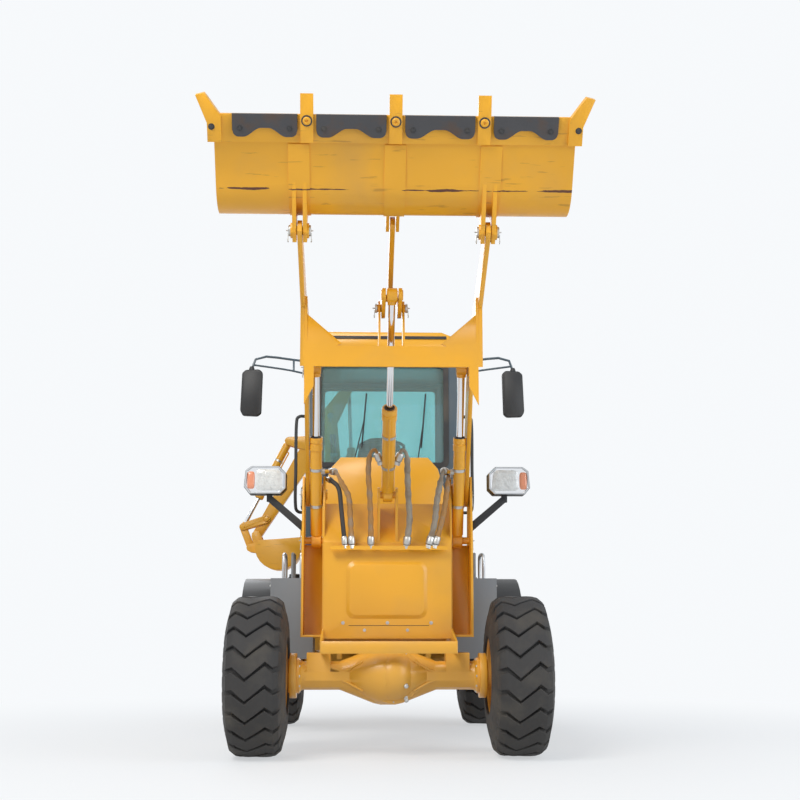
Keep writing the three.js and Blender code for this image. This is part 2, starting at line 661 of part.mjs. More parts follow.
const cabBaseZ = 1240;
const cabWall = 44;
const shell = box(-cabHalfWidth, cabHalfWidth, cabFrontY, cabRearY, cabBaseZ, cabTopZ);
const cabHollow = box(-cabHalfWidth + cabWall, cabHalfWidth - cabWall, cabFrontY + cabWall, cabRearY - cabWall,
  cabFloorZ, cabTopZ - 60);
const windshieldX = 560;
const windshieldFootZ = hoodTopZ + 40;
const windshieldTopZ = cabTopZ - 110;
const rearWindowX = 560;
const rearWindowFootZ = 2020;
const doorFrontY = cabFrontY + 90;
const doorRearY = 1880;
const doorFootZ = cabFloorZ + 10;
const doorTopZ = cabTopZ - 100;
const sideHole = (sign) => box(sign * (cabHalfWidth - cabWall - 1), sign * (cabHalfWidth + 1),
  doorFrontY, doorRearY, doorFootZ, doorTopZ);
const quarterHole = (sign) => box(sign * (cabHalfWidth - cabWall - 1), sign * (cabHalfWidth + 1),
  doorRearY + 70, cabRearY - 70, rearWindowFootZ, doorTopZ);
const cabFrame = cut(
  shell,
  cabHollow,
  box(-windshieldX, windshieldX, cabFrontY - 1, cabFrontY + cabWall + 1, windshieldFootZ, windshieldTopZ),
  box(-rearWindowX, rearWindowX, cabRearY - cabWall - 1, cabRearY + 1, rearWindowFootZ, windshieldTopZ),
  [-1, 1].map((sign) => [sideHole(sign), quarterHole(sign)]),
  [-1, 1].map((sign) => box(sign * (railOuterX + 100), sign * 700, 900, 2400, 1200, 1330)),
);
const mirrorX = 1138;
const mirrorZ = cabTopZ - 392;
const mirrorTop = 205;
// Each mirror hangs from an upper tube that bends down into it and a lower tube, with a strut between them.
const mirrorRail = sides.map(([, sign]) => {
  const upright = (z) => [sign * (cabHalfWidth + 120), cabFrontY - 40, mirrorZ + z];
  return [
    tube([
      [sign * (cabHalfWidth - 20), cabFrontY + 25, mirrorZ + 310], upright(315),
      [sign * (mirrorX - 70), cabFrontY - 130, mirrorZ + 320], [sign * (mirrorX - 12), cabFrontY - 140, mirrorZ + 275],
      [sign * mirrorX, cabFrontY - 140, mirrorZ + mirrorTop + 1],
    ], 11, 8, 6),
    tube([
      [sign * (cabHalfWidth - 20), cabFrontY + 25, mirrorZ + 190], upright(215),
      [sign * (mirrorX - 4), cabFrontY - 138, mirrorZ + 250],
    ], 9, 8, 6),
    rod(upright(215), upright(315), 9, 8),
  ];
});
add("cab_frame", join(cabFrame, mirrorRail), "slate");

for (const [side, sign] of sides) {
  const mirror = [[-88, -180], [-60, -mirrorTop], [70, -200], [92, -160], [80, 175], [52, 200], [-68, mirrorTop], [-96, 180]]
    .map(([u, v]) => [sign * mirrorX + sign * u, mirrorZ + v]);
  add(`mirror_${side}`, slab(mirror, "y", cabFrontY - 170, cabFrontY - 110), "black");
}

const roofOutline = [
  [-cabHalfWidth + 20, cabTopZ + gap], [cabHalfWidth - 20, cabTopZ + gap], [cabHalfWidth, cabTopZ + 40],
  [cabHalfWidth - 40, cabTopZ + 130], [cabHalfWidth - 140, cabTopZ + roofThickness],
  [-cabHalfWidth + 140, cabTopZ + roofThickness], [-cabHalfWidth + 40, cabTopZ + 130], [-cabHalfWidth, cabTopZ + 40],
];
add("cab_roof", slab(roofOutline, "y", cabFrontY - 90, cabRearY + 60), "yellow");

const windowGap = 1;
add("windshield", box(-windshieldX + windowGap, windshieldX - windowGap, cabFrontY + 12, cabFrontY + 12 + glass,
  windshieldFootZ + windowGap, windshieldTopZ - windowGap), "glass");
add("rear_window", box(-rearWindowX + windowGap, rearWindowX - windowGap, cabRearY - 18, cabRearY - 18 + glass,
  rearWindowFootZ + windowGap, windshieldTopZ - windowGap), "glass");

for (const [side, sign] of sides) {
  const outer = sign * cabHalfWidth;
  const inner = sign * (cabHalfWidth - doorThickness);
  const leaf = cut(
    box(inner, outer, doorFrontY + clearance, doorRearY - clearance, doorFootZ + clearance, doorTopZ - clearance),
    box(inner - sign, outer + sign, doorFrontY + 70, doorRearY - 70, 1880, doorTopZ - 70),
  );
  add(`door_${side}`, leaf, "slate");
  const pane = sign * (cabHalfWidth - doorThickness / 2);
  add(`door_glass_${side}`, box(pane - glass / 2, pane + glass / 2, doorFrontY + 71, doorRearY - 71, 1881, doorTopZ - 71),
    "glass");
}

const seat = join(
  slab([[1520, 1900], [1500, 1990], [1540, 2030], [1960, 2010], [2060, 2640], [2110, 2660], [2150, 2620], [2040, 1900]],
    "x", -240, 240),
  box(-170, 170, 1600, 1980, cabFloorZ + gap, 1905),
);
add("seat", seat, "fabric");

// The steering wheel is drawn flat and leaned back on its column.
const steeringRadius = 200;
const wheelLean = 65;
const steeringWheel = join(
  solid(new THREE.TorusGeometry(steeringRadius, 15, 8, 24)),
  rod([0, 0, -40], [0, 0, 15], 45, 12),
  [0, 120, 240].map((degrees) => {
    const angle = THREE.MathUtils.degToRad(degrees + 90);
    return rod([0, 0, -8], [steeringRadius * Math.cos(angle), steeringRadius * Math.sin(angle), 0], 11, 8);
  }),
).rotate([90 - wheelLean, 0, 0]).translate([0, 1300, 2430]);
const dashboard = join(
  slab([[cabFrontY + cabWall + gap, cabFloorZ + gap], [1180, cabFloorZ + gap], [1230, 2180], [1150, 2225],
    [cabFrontY + cabWall + gap, 2200]], "x", -330, 330),
  rod([0, 1185, 2150], [0, 1290, 2405], 26, 12),
  steeringWheel,
);
add("dashboard", dashboard, "black");

// ---------------------------------------------------------------- backhoe

// Backhoe plates lie across Y. Points are [distance out, height] and the swing carries them to the right side.
const out = ([distance, z]) => [-distance, z];
const outRound = ([distance, z, radius]) => [-distance, z, radius];
const hoeBar = (circles, from, to) => bar(circles.map(outRound), "y", hoePlaneY + from, hoePlaneY + to);
const hoeDisc = (centre, radius, from, to, facets) =>
  disc(out(centre), radius, "y", hoePlaneY + from, hoePlaneY + to, facets);
const hoePlane = ([distance, z], y) => [-distance, y, z];
const bothFaces = (near, far, make) => [[near, far], [-far, -near]].map(([from, to]) => make(from, to));

const boomCylinderBase = [540, 630];
const boomCylinderPin = [575, 1760];
const dipperCylinderBase = [255, 1900];
const bucketCylinderBase = [905, 2655];
const hoePin = 25;

const postFork = 78;
const post = join(
  cut(
    join(
      rod([0, swingPinY, 605 + clearance], [0, swingPinY, 1080 - clearance], 105, 20),
      box(-200, 0, hoePlaneY - postFork - 16, hoePlaneY + postFork + 16, 640, 1040),
    ),
    rod([0, swingPinY, 500], [0, swingPinY, 1200], 35 + pinPlay, 16),
  ),
  bothFaces(postFork, postFork + 16, (from, to) => [
    hoeBar([[150, 760, 110], [...hoeFoot, 62]], from, to),
    hoeBar([[150, 760, 110], [...boomCylinderBase, 50]], from, to),
  ]),
  hoeDisc(hoeFoot, hoePin, -postFork - 28, postFork + 28),
  hoeDisc(boomCylinderBase, hoePin, -postFork - 28, postFork + 28),
);
add("swing_post", post, "yellow");

const boomSplit = 2440;
const boomLugs = (centre, root, radius) => bothFaces(50, 66, (from, to) =>
  hoeBar([[...root, radius + 14], [...centre, radius]], from, to));
const boom = cut(
  join(
    hoeBar([[...hoeFoot, 70], [400, 1500, 88], [448, 2100, 86], [462, boomSplit, 78]], -boomHalfWidth, boomHalfWidth),
    bothFaces(dipperHalfWidth + clearance, boomHalfWidth, (from, to) =>
      hoeBar([[462, boomSplit, 78], [...hoeElbow, 62]], from, to)),
    boomLugs(boomCylinderPin, [430, 1760], 38),
    boomLugs(dipperCylinderBase, [410, 1900], 38),
    hoeDisc(hoeElbow, hoePin, -boomHalfWidth - 14, boomHalfWidth + 14),
    hoeDisc(dipperCylinderBase, hoePin, -66, 66),
  ),
  hoeDisc(hoeFoot, hoePin + pinPlay, -boomHalfWidth - 1, boomHalfWidth + 1),
);
add("hoe_boom", boom, "yellow");

const dipperRun = span(hoeElbow, hoeWrist);
const guideRoot = ahead(hoeWrist, dipperRun.direction, -guideFromWrist);
const dipper = cut(
  join(
    hoeBar([[...hoeTail, 46], [...hoeElbow, 92]], -dipperHalfWidth, -30),
    hoeBar([[...hoeTail, 46], [...hoeElbow, 92]], 30, dipperHalfWidth),
    hoeBar([[...hoeElbow, 92], [...ahead(hoeElbow, dipperRun.direction, 500), 88], [...hoeWrist, 45]],
      -dipperHalfWidth, dipperHalfWidth),
    bothFaces(48, 64, (from, to) =>
      hoeBar([[...ahead(hoeElbow, dipperRun.direction, 330), 80], [...bucketCylinderBase, 40]], from, to)),
    hoeDisc(bucketCylinderBase, hoePin, -dipperHalfWidth - 14, dipperHalfWidth + 14),
    hoeDisc(guideRoot, hoePin, -dipperHalfWidth - 30, dipperHalfWidth + 30),
  ),
  hoeDisc(hoeElbow, hoePin + pinPlay, -dipperHalfWidth - 1, dipperHalfWidth + 1),
);
add("hoe_dipper", dipper, "yellow");

// The guide link and the bucket link meet where their two reaches cross, outside the dipper.
function crossing(a, reachA, b, reachB) {
  const { length, direction } = span(a, b);
  const along = (reachA ** 2 - reachB ** 2 + length ** 2) / (2 * length);
  const off = Math.sqrt(reachA ** 2 - along ** 2);
  return [a[0] + direction[0] * along + direction[1] * off, a[1] + direction[1] * along - direction[0] * off];
}
const guidePin = crossing(bucketLinkPin, hoeLinkLength, guideRoot, guideLength);
const guide = join(
  bothFaces(dipperHalfWidth + clearance, dipperHalfWidth + clearance + 14, (from, to) => cut(
    hoeBar([[...guideRoot, 40], [...guidePin, 34]], from, to),
    hoeDisc(guideRoot, hoePin + pinPlay, from - 1, to + 1),
  )),
  bothFaces(30, dipperHalfWidth + 24, (from, to) => hoeDisc(guidePin, 20, from, to)),
  hoeDisc(ahead(guideRoot, span(guideRoot, guidePin).direction, guideLength * 0.6), 18, -60, 60),
);
add("hoe_guide_link", guide, "yellow");
const bucketLinkFaces = bothFaces(34, 48, (from, to) => cut(
  hoeBar([[...guidePin, 34], [...bucketLinkPin, 34]], from, to),
  hoeDisc(guidePin, 20 + pinPlay, from - 1, to + 1),
));
const linkBridge = hoeBar([[...ahead(guidePin, span(guidePin, bucketLinkPin).direction, 95), 18],
  [...ahead(guidePin, span(guidePin, bucketLinkPin).direction, 120), 18]], -48, 48);
add("hoe_bucket_link", join(bucketLinkFaces, linkBridge), "yellow");

// The digging bucket is curled, mouth up, its teeth towards the machine.
const hoeShellCentre = [985, 1600];
const hoeShellRadius = 228;
const hoeRimZ = 1690;
const hoeShell = (inset) => [
  ...arc(hoeShellCentre, hoeShellRadius - inset, 0.05, -Math.PI + 0.2, 12),
  [hoeShellCentre[0] - hoeShellRadius + 4 + inset, hoeRimZ],
];
const cheekOutline = [...hoeShell(0), [1010, hoeRimZ - 20], [1175, hoeRimZ - 30]];
const hoeHalf = hoeBucketWidth / 2;
const hoeEar = [dipperHalfWidth + 36, dipperHalfWidth + 54];
const hoeToothX = hoeShellCentre[0] - hoeShellRadius + 4;
const hoeBucket = join(
  slab([...hoeShell(0), ...hoeShell(14).reverse()].map(out), "y", hoePlaneY - hoeHalf, hoePlaneY + hoeHalf),
  bothFaces(hoeHalf - 12, hoeHalf, (from, to) => slab(cheekOutline.map(out), "y", hoePlaneY + from, hoePlaneY + to)),
  bothFaces(...hoeEar, (from, to) => [
    hoeBar([[...hoeWrist, 45], [1172, 1592, 52], [...bucketLinkPin, 40]], from, to),
  ]),
  bothFaces(dipperHalfWidth + clearance, hoeEar[1], (from, to) => hoeDisc(hoeWrist, 38, from, to)),
  [-2, -1, 0, 1, 2].map((place) => box(-hoeToothX - 10, -hoeToothX + 16, hoePlaneY + place * 88 - 22,
    hoePlaneY + place * 88 + 22, hoeRimZ - 40, hoeRimZ + 90)),
);
add("hoe_bucket", hoeBucket, "yellow");

const hoeCylinderSize = {
  place: hoePlane, axis: "y", across: hoePlaneY, radius: hoeTubeRadius, rodRadius: hoeRodRadius,
  eye: 38, eyeWidth: 48, boreAt: hoePin,
};
const hoeCylinders = [
  ["boom", boomCylinderBase, boomCylinderPin, 590, 520],
  ["dipper", dipperCylinderBase, hoeTail, 690, 630],
  ["bucket", bucketCylinderBase, guidePin, 640, 560],
];
for (const [name, base, pin, tubeLength, insert] of hoeCylinders) {
  const parts = cylinder(base, pin, { ...hoeCylinderSize, tubeLength, insert });
  add(`${name}_barrel`, parts.barrel, "yellow");
  add(`${name}_rod`, parts.piston, "chrome");
}

// stabilizer legs in their sleeves
for (const [side, sign] of sides) {
  add(`stabilizer_${side}`, join(
    box(sign * (stabilizerX - 55), sign * (stabilizerX + 55), 2320, 2420, 340, 1100),
    box(sign * (stabilizerX - 150), sign * (stabilizerX + 150), 2290, 2446, 320, 345),
  ), "yellow");
}

// ---------------------------------------------------------------- steering cylinder and hoses

const steerPlane = ([x, y], z) => [x, y, z];
const steer = cylinder(rearSteerPin, frontSteerPin, {
  place: steerPlane, axis: "z", across: steerZ, radius: 32, rodRadius: 16, tubeLength: 400, eye: 34,
  eyeWidth: 2 * (steerZ - 955) - 2, boreAt: 0, insert: 250,
});
add("steering_barrel", steer.barrel, "black");
add("steering_rod", steer.piston, "chrome");

const hoseRadius = 13;
const bulkheadZ = 1405;
const bulkheadY = -1080 - gap - 16;
const hoseRun = (x, z, lean) => [
  [x, bulkheadY, bulkheadZ + 10], [x + lean * 0.3, bulkheadY - 20, bulkheadZ + 150],
  [x + lean * 0.8, bulkheadY, z - 170], [x + lean, bulkheadY + 20, z],
];
const hoses = [[-125, 1990, -20], [125, 1990, 20], [-260, 2000, -80], [-330, 1930, -60], [300, 2000, 75]];
const hoseSet = join(
  hoses.map(([x, z, lean]) => tube(hoseRun(x, z, lean), hoseRadius)),
  box(-360, 360, bulkheadY - 16, bulkheadY + 16, bulkheadZ - 14, bulkheadZ + 14),
);
add("loader_hoses", hoseSet, "black");

// ---------------------------------------------------------------- origin on the ground below the middle

const bounds = new THREE.Box3();
machine.traverse((item) => {
  if (item.isMesh) bounds.union(new THREE.Box3().setFromObject(item));
});
const middle = bounds.getCenter(new THREE.Vector3());
machine.position.set(-middle.x, -middle.y, -bounds.min.z);

const group = new THREE.Group();
group.add(machine);
export default group;
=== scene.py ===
# %% [markdown]
# # Articulated backhoe loader
# A small construction machine: a bucket on raised loader arms in front, a cab in the middle, and a digging
# arm folded at the back. The solid frame of the machine is already made to size, so each piece here takes
# its place from that frame and adds the look: tread, weld seams, glands, bolts and finishes.

# %% Load the frame
import math

import bpy
import numpy as np
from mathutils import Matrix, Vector


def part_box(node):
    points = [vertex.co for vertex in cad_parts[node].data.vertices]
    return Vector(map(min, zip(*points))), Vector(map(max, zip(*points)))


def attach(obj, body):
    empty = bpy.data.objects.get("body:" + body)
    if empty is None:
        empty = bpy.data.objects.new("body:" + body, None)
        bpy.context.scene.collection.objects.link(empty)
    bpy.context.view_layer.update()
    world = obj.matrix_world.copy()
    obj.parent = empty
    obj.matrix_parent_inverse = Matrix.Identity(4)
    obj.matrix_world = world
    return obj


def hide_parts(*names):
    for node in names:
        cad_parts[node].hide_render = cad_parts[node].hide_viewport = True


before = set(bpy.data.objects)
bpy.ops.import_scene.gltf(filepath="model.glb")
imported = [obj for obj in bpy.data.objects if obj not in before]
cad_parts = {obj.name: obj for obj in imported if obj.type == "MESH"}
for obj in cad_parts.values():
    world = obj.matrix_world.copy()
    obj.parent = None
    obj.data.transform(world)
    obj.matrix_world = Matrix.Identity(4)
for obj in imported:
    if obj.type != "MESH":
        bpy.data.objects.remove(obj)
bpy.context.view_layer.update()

# %% [markdown]
# The machine bends in the middle, at a pivot between the two axles. Everything is laid out from that
# pivot on the ground: X across (its left side positive), Y to the rear and Z up, in metres. The tyres'
# boxes say where it is, so the layout follows the solid frame.

# %% Find the pivot from the tyres
FRONT_AXLE, REAR_AXLE = -1.25, 1.35
SIDES = (("left", 1), ("right", -1))
tyre_low, tyre_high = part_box("front_left_tyre")
other_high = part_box("front_right_tyre")[1]
MIDDLE = (tyre_low.x + other_high.x) / 2
PIVOT = np.array([MIDDLE, (tyre_low.y + tyre_high.y) / 2 - FRONT_AXLE, 0.0])
print("pivot", PIVOT.round(4))


def at(x, y, z):
    """A point given from the pivot on the ground, as a point of the frame."""
    return np.array([x, y, z], float) + PIVOT


# %% [markdown]
# A low camera a little to the machine's right, looking slightly up, makes the wheels look big and the
# raised bucket tower over the cab. A 58 mm lens from ten metres keeps the sides nearly parallel.

# %% Camera
EYE = at(-0.21, -10.2, 0.95)
YAW, TILT = -1.87, 9.42
LENS, SENSOR = 58, 36
scene = bpy.context.scene
camera = bpy.data.objects.new("camera", bpy.data.cameras.new("camera"))
camera.data.lens = LENS
camera.data.sensor_width = SENSOR
camera.location = EYE
camera.rotation_euler = (math.radians(90 + TILT), 0, math.radians(YAW))
scene.collection.objects.link(camera)
scene.camera = camera
print("camera at", EYE.round(3))

# %% [markdown]
# Shaders are graphs of nodes. One function adds a node and wires it, so that a graph reads like a formula:
# each feed of a socket is a plain value, or the output of another node.

# %% Shader nodes
def feed(node, feeds):
    """Gives each named socket of a node its constant, or a link from another node's output."""
    for name, value in feeds.items():
        socket = node.inputs[name]
        if isinstance(value, bpy.types.NodeSocket):
            node.id_data.links.new(value, socket)
        else:
            socket.default_value = (*value, 1) if socket.type == "RGBA" else value


def add(tree, kind, feeds=None, output=0, **settings):
    """Adds a node with its settings, feeds its sockets and returns one of its outputs."""
    node = tree.nodes.new("ShaderNode" + kind)
    for name, value in settings.items():
        setattr(node, name, value)
    feed(node, feeds or {})
    return node.outputs[output] if node.outputs else None


def new_material(name):
    """A material and its tree of nodes."""
    material = bpy.data.materials.new(name)
    material.use_nodes = True
    return material, material.node_tree


def background_rays(tree):
    """The largest of three flags: a ray from the camera, one seen in a gloss, or one seen through glass."""
    ways = ("Camera", "Glossy", "Transmission")
    largest, *others = [add(tree, "LightPath", output=f"Is {way} Ray") for way in ways]
    for flag in others:
        largest = add(tree, "Math", {0: largest, 1: flag}, operation="MAXIMUM")
    return largest


print("shader nodes ready")

# %% [markdown]
# Soft studio light: one wide lamp high in front, a weaker one on the left, one behind, and a dim pale
# world. The floor is matt and pale. Only rays straight from the camera, or seen in metal and glass, find
# the white background, so the object itself keeps a plain light level.

# %% Light, floor and background
WHITE = (0.93, 0.95, 0.97)
SKY, SKY_STRENGTH = (0.78, 0.84, 0.92), 0.42
scene.view_settings.view_transform = "Standard"
scene.world = bpy.data.worlds.new("studio")
scene.world.use_nodes = True
sky = scene.world.node_tree
sky.nodes.clear()
fill = add(sky, "Background", {"Color": SKY, "Strength": SKY_STRENGTH})
white = add(sky, "Background", {"Color": WHITE, "Strength": 1.0})
add(sky, "OutputWorld", {"Surface": add(sky, "MixShader", {0: background_rays(sky), 1: fill, 2: white})})


def area_light(name, place, aim, size, watts, colour):
    """A square lamp of the given size at place, turned to aim."""
    lamp = bpy.data.lights.new(name, "AREA")
    lamp.size = size
    lamp.energy = watts
    lamp.color = colour
    holder = bpy.data.objects.new(name, lamp)
    holder.location = place
    holder.rotation_euler = (Vector(aim) - Vector(place)).to_track_quat("-Z", "Y").to_euler()
    scene.collection.objects.link(holder)


area_light("key", at(-4.5, -8, 8.5), at(0, 0, 1.6), 5, 820, (1, 0.97, 0.92))
area_light("left_fill", at(7, -5, 4), at(0, 0, 1.5), 5, 300, (0.9, 0.95, 1))
area_light("back_fill", at(-3, 9, 7), at(0, 1, 1.5), 6, 420, (0.95, 0.97, 1))


def floor_material():
    """Matt pale floor that, in background rays, fades to the white background away from the object."""
    m, tree = new_material("pale_floor")
    shader = tree.nodes["Principled BSDF"]
    feed(shader, {"Base Color": (0.78, 0.79, 0.80), "Roughness": 0.9})
    where = add(tree, "TexCoord", output="Object")
    away = add(tree, "VectorMath", {0: where}, "Value", operation="LENGTH")
    fade = add(tree, "MapRange", {"Value": away, "From Min": 1.0, "From Max": 6.0, "To Min": 0.55},
               interpolation_type="SMOOTHSTEP")
    share = add(tree, "Math", {0: fade, 1: background_rays(tree)}, operation="MULTIPLY")
    glow = add(tree, "Emission", {"Color": WHITE})
    blend = add(tree, "MixShader", {0: share, 1: shader.outputs[0], 2: glow})
    feed(tree.nodes["Material Output"], {"Surface": blend})
    return m


REACH = 60.0
floor_mesh = bpy.data.meshes.new("floor")
floor_corners = [(-REACH, -REACH, 0), (REACH, -REACH, 0), (REACH, REACH, 0), (-REACH, REACH, 0)]
floor_mesh.from_pydata(floor_corners, [], [(0, 1, 2, 3)])
floor_mesh.materials.append(floor_material())
floor = bpy.data.objects.new("floor", floor_mesh)
scene.collection.objects.link(floor)
print("light and floor made")

# %% [markdown]
# ## Finishes
# Every finish starts as one shader and gets its life from noise read in object coordinates, so it sits
# still on the piece. Paint on a working machine is never one flat tone: it has a faint orange peel from
# the gun, dust in soft patches and a few rubbed places, so three layers of noise are mixed in.

# %% A finish with wear
def finish(name, colour, rough, metal=0.0, dirt=0.35, dirt_colour=(0.25, 0.2, 0.14), grain=180.0, bump=0.05,
           coat=0.0, patches=2.2, scratch=0.0, under=(0.12, 0.05, 0.02), low_dust=0.0, crease=None):
    """Base colour mixed with dust where slow noise is high, and bare metal where stretched noise is high.

    Colour = mix(mix(colour, dust, step(noise)), under, scratch * step(stretched noise)); roughness rises
    with the dust; the bump is fine noise. With low_dust, the dust also grows towards the ground. A crease is
    a way, a distance along it and a half width: within that band, paint is scraped off where a stretched
    noise is high.
    """
    m, tree = new_material(name)
    where = add(tree, "TexCoord", output="Object")

    def noise(scale, detail, source=where):
        return add(tree, "TexNoise", {"Vector": source, "Scale": scale, "Detail": detail})

    def ramp(source, low, high, top):
        return add(tree, "MapRange", {"Value": source, "From Min": low, "From Max": high, "To Max": top})

    def mix(factor, a, b):
        return add(tree, "Mix", {"Factor": factor, "A": a, "B": b}, "Result", data_type="RGBA")

    tone = mix(noise(patches * 0.6, 3), [c * 0.88 for c in colour], [min(1, c * 1.08) for c in colour])
    dusty = ramp(noise(patches, 8), 0.48, 0.72, dirt)
    if low_dust:
        height = add(tree, "SeparateXYZ", {0: where}, "Z")
        dusty = add(tree, "Math", {0: dusty, 1: ramp(height, 1.2, 0.1, low_dust)}, use_clamp=True)
    tone = mix(dusty, tone, dirt_colour)
    if scratch:
        streaks = add(tree, "Mapping", {"Vector": where, "Scale": (3, 14, 40), "Rotation": (0.5, 0.3, 0.2)})
        tone = mix(ramp(noise(1.6, 6, streaks), 0.64, 0.68, scratch), tone, under)
    if crease:
        way, distance, half = crease
        across = add(tree, "VectorMath", {0: where, 1: way}, "Value", operation="DOT_PRODUCT")
        off = add(tree, "Math", {0: across, 1: distance}, operation="SUBTRACT")
        gap = add(tree, "Math", {0: off}, operation="ABSOLUTE")
        long_marks = add(tree, "Mapping", {"Vector": where, "Scale": (5, 30, 30)})
        reach = ramp(noise(1.0, 5, long_marks), 0.45, 0.75, half)
        tone = mix(add(tree, "Math", {0: gap, 1: reach}, operation="LESS_THAN"), tone, under)
    worn = add(tree, "MapRange", {"Value": dusty, "To Min": rough, "To Max": min(1, rough + 0.35)})
    relief = add(tree, "Bump", {"Strength": bump, "Distance": 0.004, "Height": noise(grain, 3)})
    feed(tree.nodes["Principled BSDF"], {"Metallic": metal, "Coat Weight": coat, "Coat Roughness": 0.15,
                                         "Base Color": tone, "Roughness": worn, "Normal": relief})
    return m


YELLOW = (0.83, 0.40, 0.018)
ROLLBACK = math.radians(58)
BUCKET_PIVOT = (-2.65, 3.24)
FLOOR_WAY = (0, math.cos(ROLLBACK), -math.sin(ROLLBACK))
CREASE_FROM_PIVOT, CREASE_HALF = 0.26, 0.016
FLOOR_CREASE = float(np.dot(FLOOR_WAY, at(0, *BUCKET_PIVOT))) - CREASE_FROM_PIVOT
yellow = finish("construction_yellow", YELLOW, 0.36, coat=0.25, dirt=0.16, low_dust=0.25)
bucket_yellow = finish("worn_yellow", YELLOW, 0.42, dirt=0.2, scratch=0.3, coat=0.1,
                       under=(0.10, 0.03, 0.012), crease=(FLOOR_WAY, FLOOR_CREASE, CREASE_HALF))
rim_yellow = finish("rim_yellow", (0.78, 0.37, 0.02), 0.42, dirt=0.35, low_dust=0.2)
tyre_black = finish("tyre_rubber", (0.022, 0.022, 0.024), 0.72, dirt=0.5, dirt_colour=(0.10, 0.09, 0.075),
                    grain=320, bump=0.25, patches=5, low_dust=0.25)
slate = finish("slate_frame", (0.055, 0.085, 0.11), 0.38, dirt=0.15, coat=0.2)
black = finish("black_plastic", (0.014, 0.015, 0.017), 0.5, dirt=0.22, dirt_colour=(0.09, 0.085, 0.075),
               bump=0.2)
grey = finish("tank_grey", (0.23, 0.245, 0.26), 0.4, dirt=0.25, low_dust=0.15)
dark_iron = finish("cast_iron", (0.06, 0.06, 0.062), 0.62, metal=0.4, dirt=0.4, bump=0.5, grain=90)
wear_steel = finish("wear_plate", (0.085, 0.085, 0.09), 0.5, metal=0.7, dirt=0.5,
                    dirt_colour=(0.16, 0.09, 0.05), bump=0.3, grain=60, patches=9)
chrome = finish("rod_chrome", (0.80, 0.81, 0.83), 0.1, metal=1.0, dirt=0.06, bump=0.0)
zinc = finish("zinc_bolt", (0.55, 0.55, 0.53), 0.35, metal=0.9, dirt=0.4, patches=14)
rail_silver = finish("rail_silver", (0.55, 0.57, 0.59), 0.32, metal=0.75, dirt=0.15)
hose_black = finish("hose_rubber", (0.018, 0.018, 0.02), 0.55, dirt=0.3, bump=0.3, grain=500)
sleeve = finish("hose_sleeve", (0.42, 0.22, 0.07), 0.7, dirt=0.75, dirt_colour=(0.30, 0.27, 0.23),
                bump=0.9, grain=260, patches=16)
grey_sleeve = finish("grey_sleeve", (0.33, 0.29, 0.23), 0.75, dirt=0.7, dirt_colour=(0.20, 0.13, 0.07),
                     bump=0.9, grain=260, patches=16)
cloth = finish("seat_cloth", (0.03, 0.032, 0.036), 0.9, dirt=0.2, bump=0.8, grain=700)
amber = finish("amber_lens", (0.80, 0.30, 0.16), 0.2, dirt=0.05, coat=0.6)
red_lens = finish("red_lens", (0.55, 0.02, 0.015), 0.2, dirt=0.05, coat=0.6)
fluted = finish("fluted_lens", (0.72, 0.74, 0.73), 0.12, dirt=0.55, dirt_colour=(0.42, 0.43, 0.42),
                patches=34, bump=0.9, grain=75, coat=1.0)
mirror_glass = finish("mirror_glass", (0.35, 0.38, 0.42), 0.06, metal=1.0, dirt=0.1, bump=0.0)
reflector = finish("reflector", (0.85, 0.86, 0.88), 0.12, metal=1.0, dirt=0.0, bump=0.02)
print("finishes", len(bpy.data.materials))

# %% [markdown]
# Cab glass on these machines has a pale blue-green tint. A pane is drawn as a thin, clear, slightly
# tinted sheet: mostly transparent, with a glossy film mixed in by Fresnel, so the cab shows behind it.

# %% Cab glass
def tinted_glass(name, tint, share, gloss):
    """mix(transparent(tint), diffuse(tint), share), under a glossy film weighted by Fresnel."""
    m, tree = new_material(name)
    tree.nodes.clear()
    cloud = add(tree, "TexNoise", {"Scale": 3.0, "Vector": add(tree, "TexCoord", output="Object")})
    pale, deep = [min(1, c * 1.1) for c in tint], [c * 0.9 for c in tint]
    shade = add(tree, "Mix", {"Factor": cloud, "A": deep, "B": pale}, "Result", data_type="RGBA")
    clear = add(tree, "BsdfTransparent", {"Color": tint})
    body = add(tree, "MixShader", {0: share, 1: clear, 2: add(tree, "BsdfDiffuse", {"Color": shade})})
    film = add(tree, "BsdfGlossy", {"Roughness": gloss})
    pane = add(tree, "MixShader", {0: add(tree, "Fresnel"), 1: body, 2: film})
    add(tree, "OutputMaterial", {"Surface": pane})
    return m


glass = tinted_glass("cab_glass", (0.66, 0.90, 0.91), 0.13, 0.03)
print("glass made")

# %% [markdown]
# ## Shapes from formulas
# Almost every part of a machine is one of four things: turned on a lathe, cut from plate, bent from tube
# or bolted on. One small function for each gives a shell, a pair of points and faces, and a piece is a
# handful of shells joined in one mesh. Working on whole arrays keeps this quick and the source short.

# %% Shells
AXES = {"x": np.eye(3)[[1, 2, 0]].T, "y": np.eye(3)[[2, 0, 1]].T, "z": np.eye(3)}


def grid_faces(rows, columns, wrap_rows=False):
    """Quads of a rows by columns grid that closes along its rows: (i, j), (i, j+1), (i+1, j+1), (i+1, j)."""
    i, j = np.meshgrid(np.arange(rows if wrap_rows else rows - 1), np.arange(columns), indexing="ij")
    i, j = i.ravel(), j.ravel()
    k, l = (i + 1) % rows, (j + 1) % columns
    return np.stack([i * columns + j, i * columns + l, k * columns + l, k * columns + j], 1).tolist()


def flipped(faces):
    """The same faces, seen from the other side."""
    return [face[::-1] for face in faces]


def end_faces(rows, columns):
    """The first and the last row of a grid as two closing faces, the first one turned round."""
    last = (rows - 1) * columns
    return [list(range(columns))[::-1], list(range(last, last + columns))]


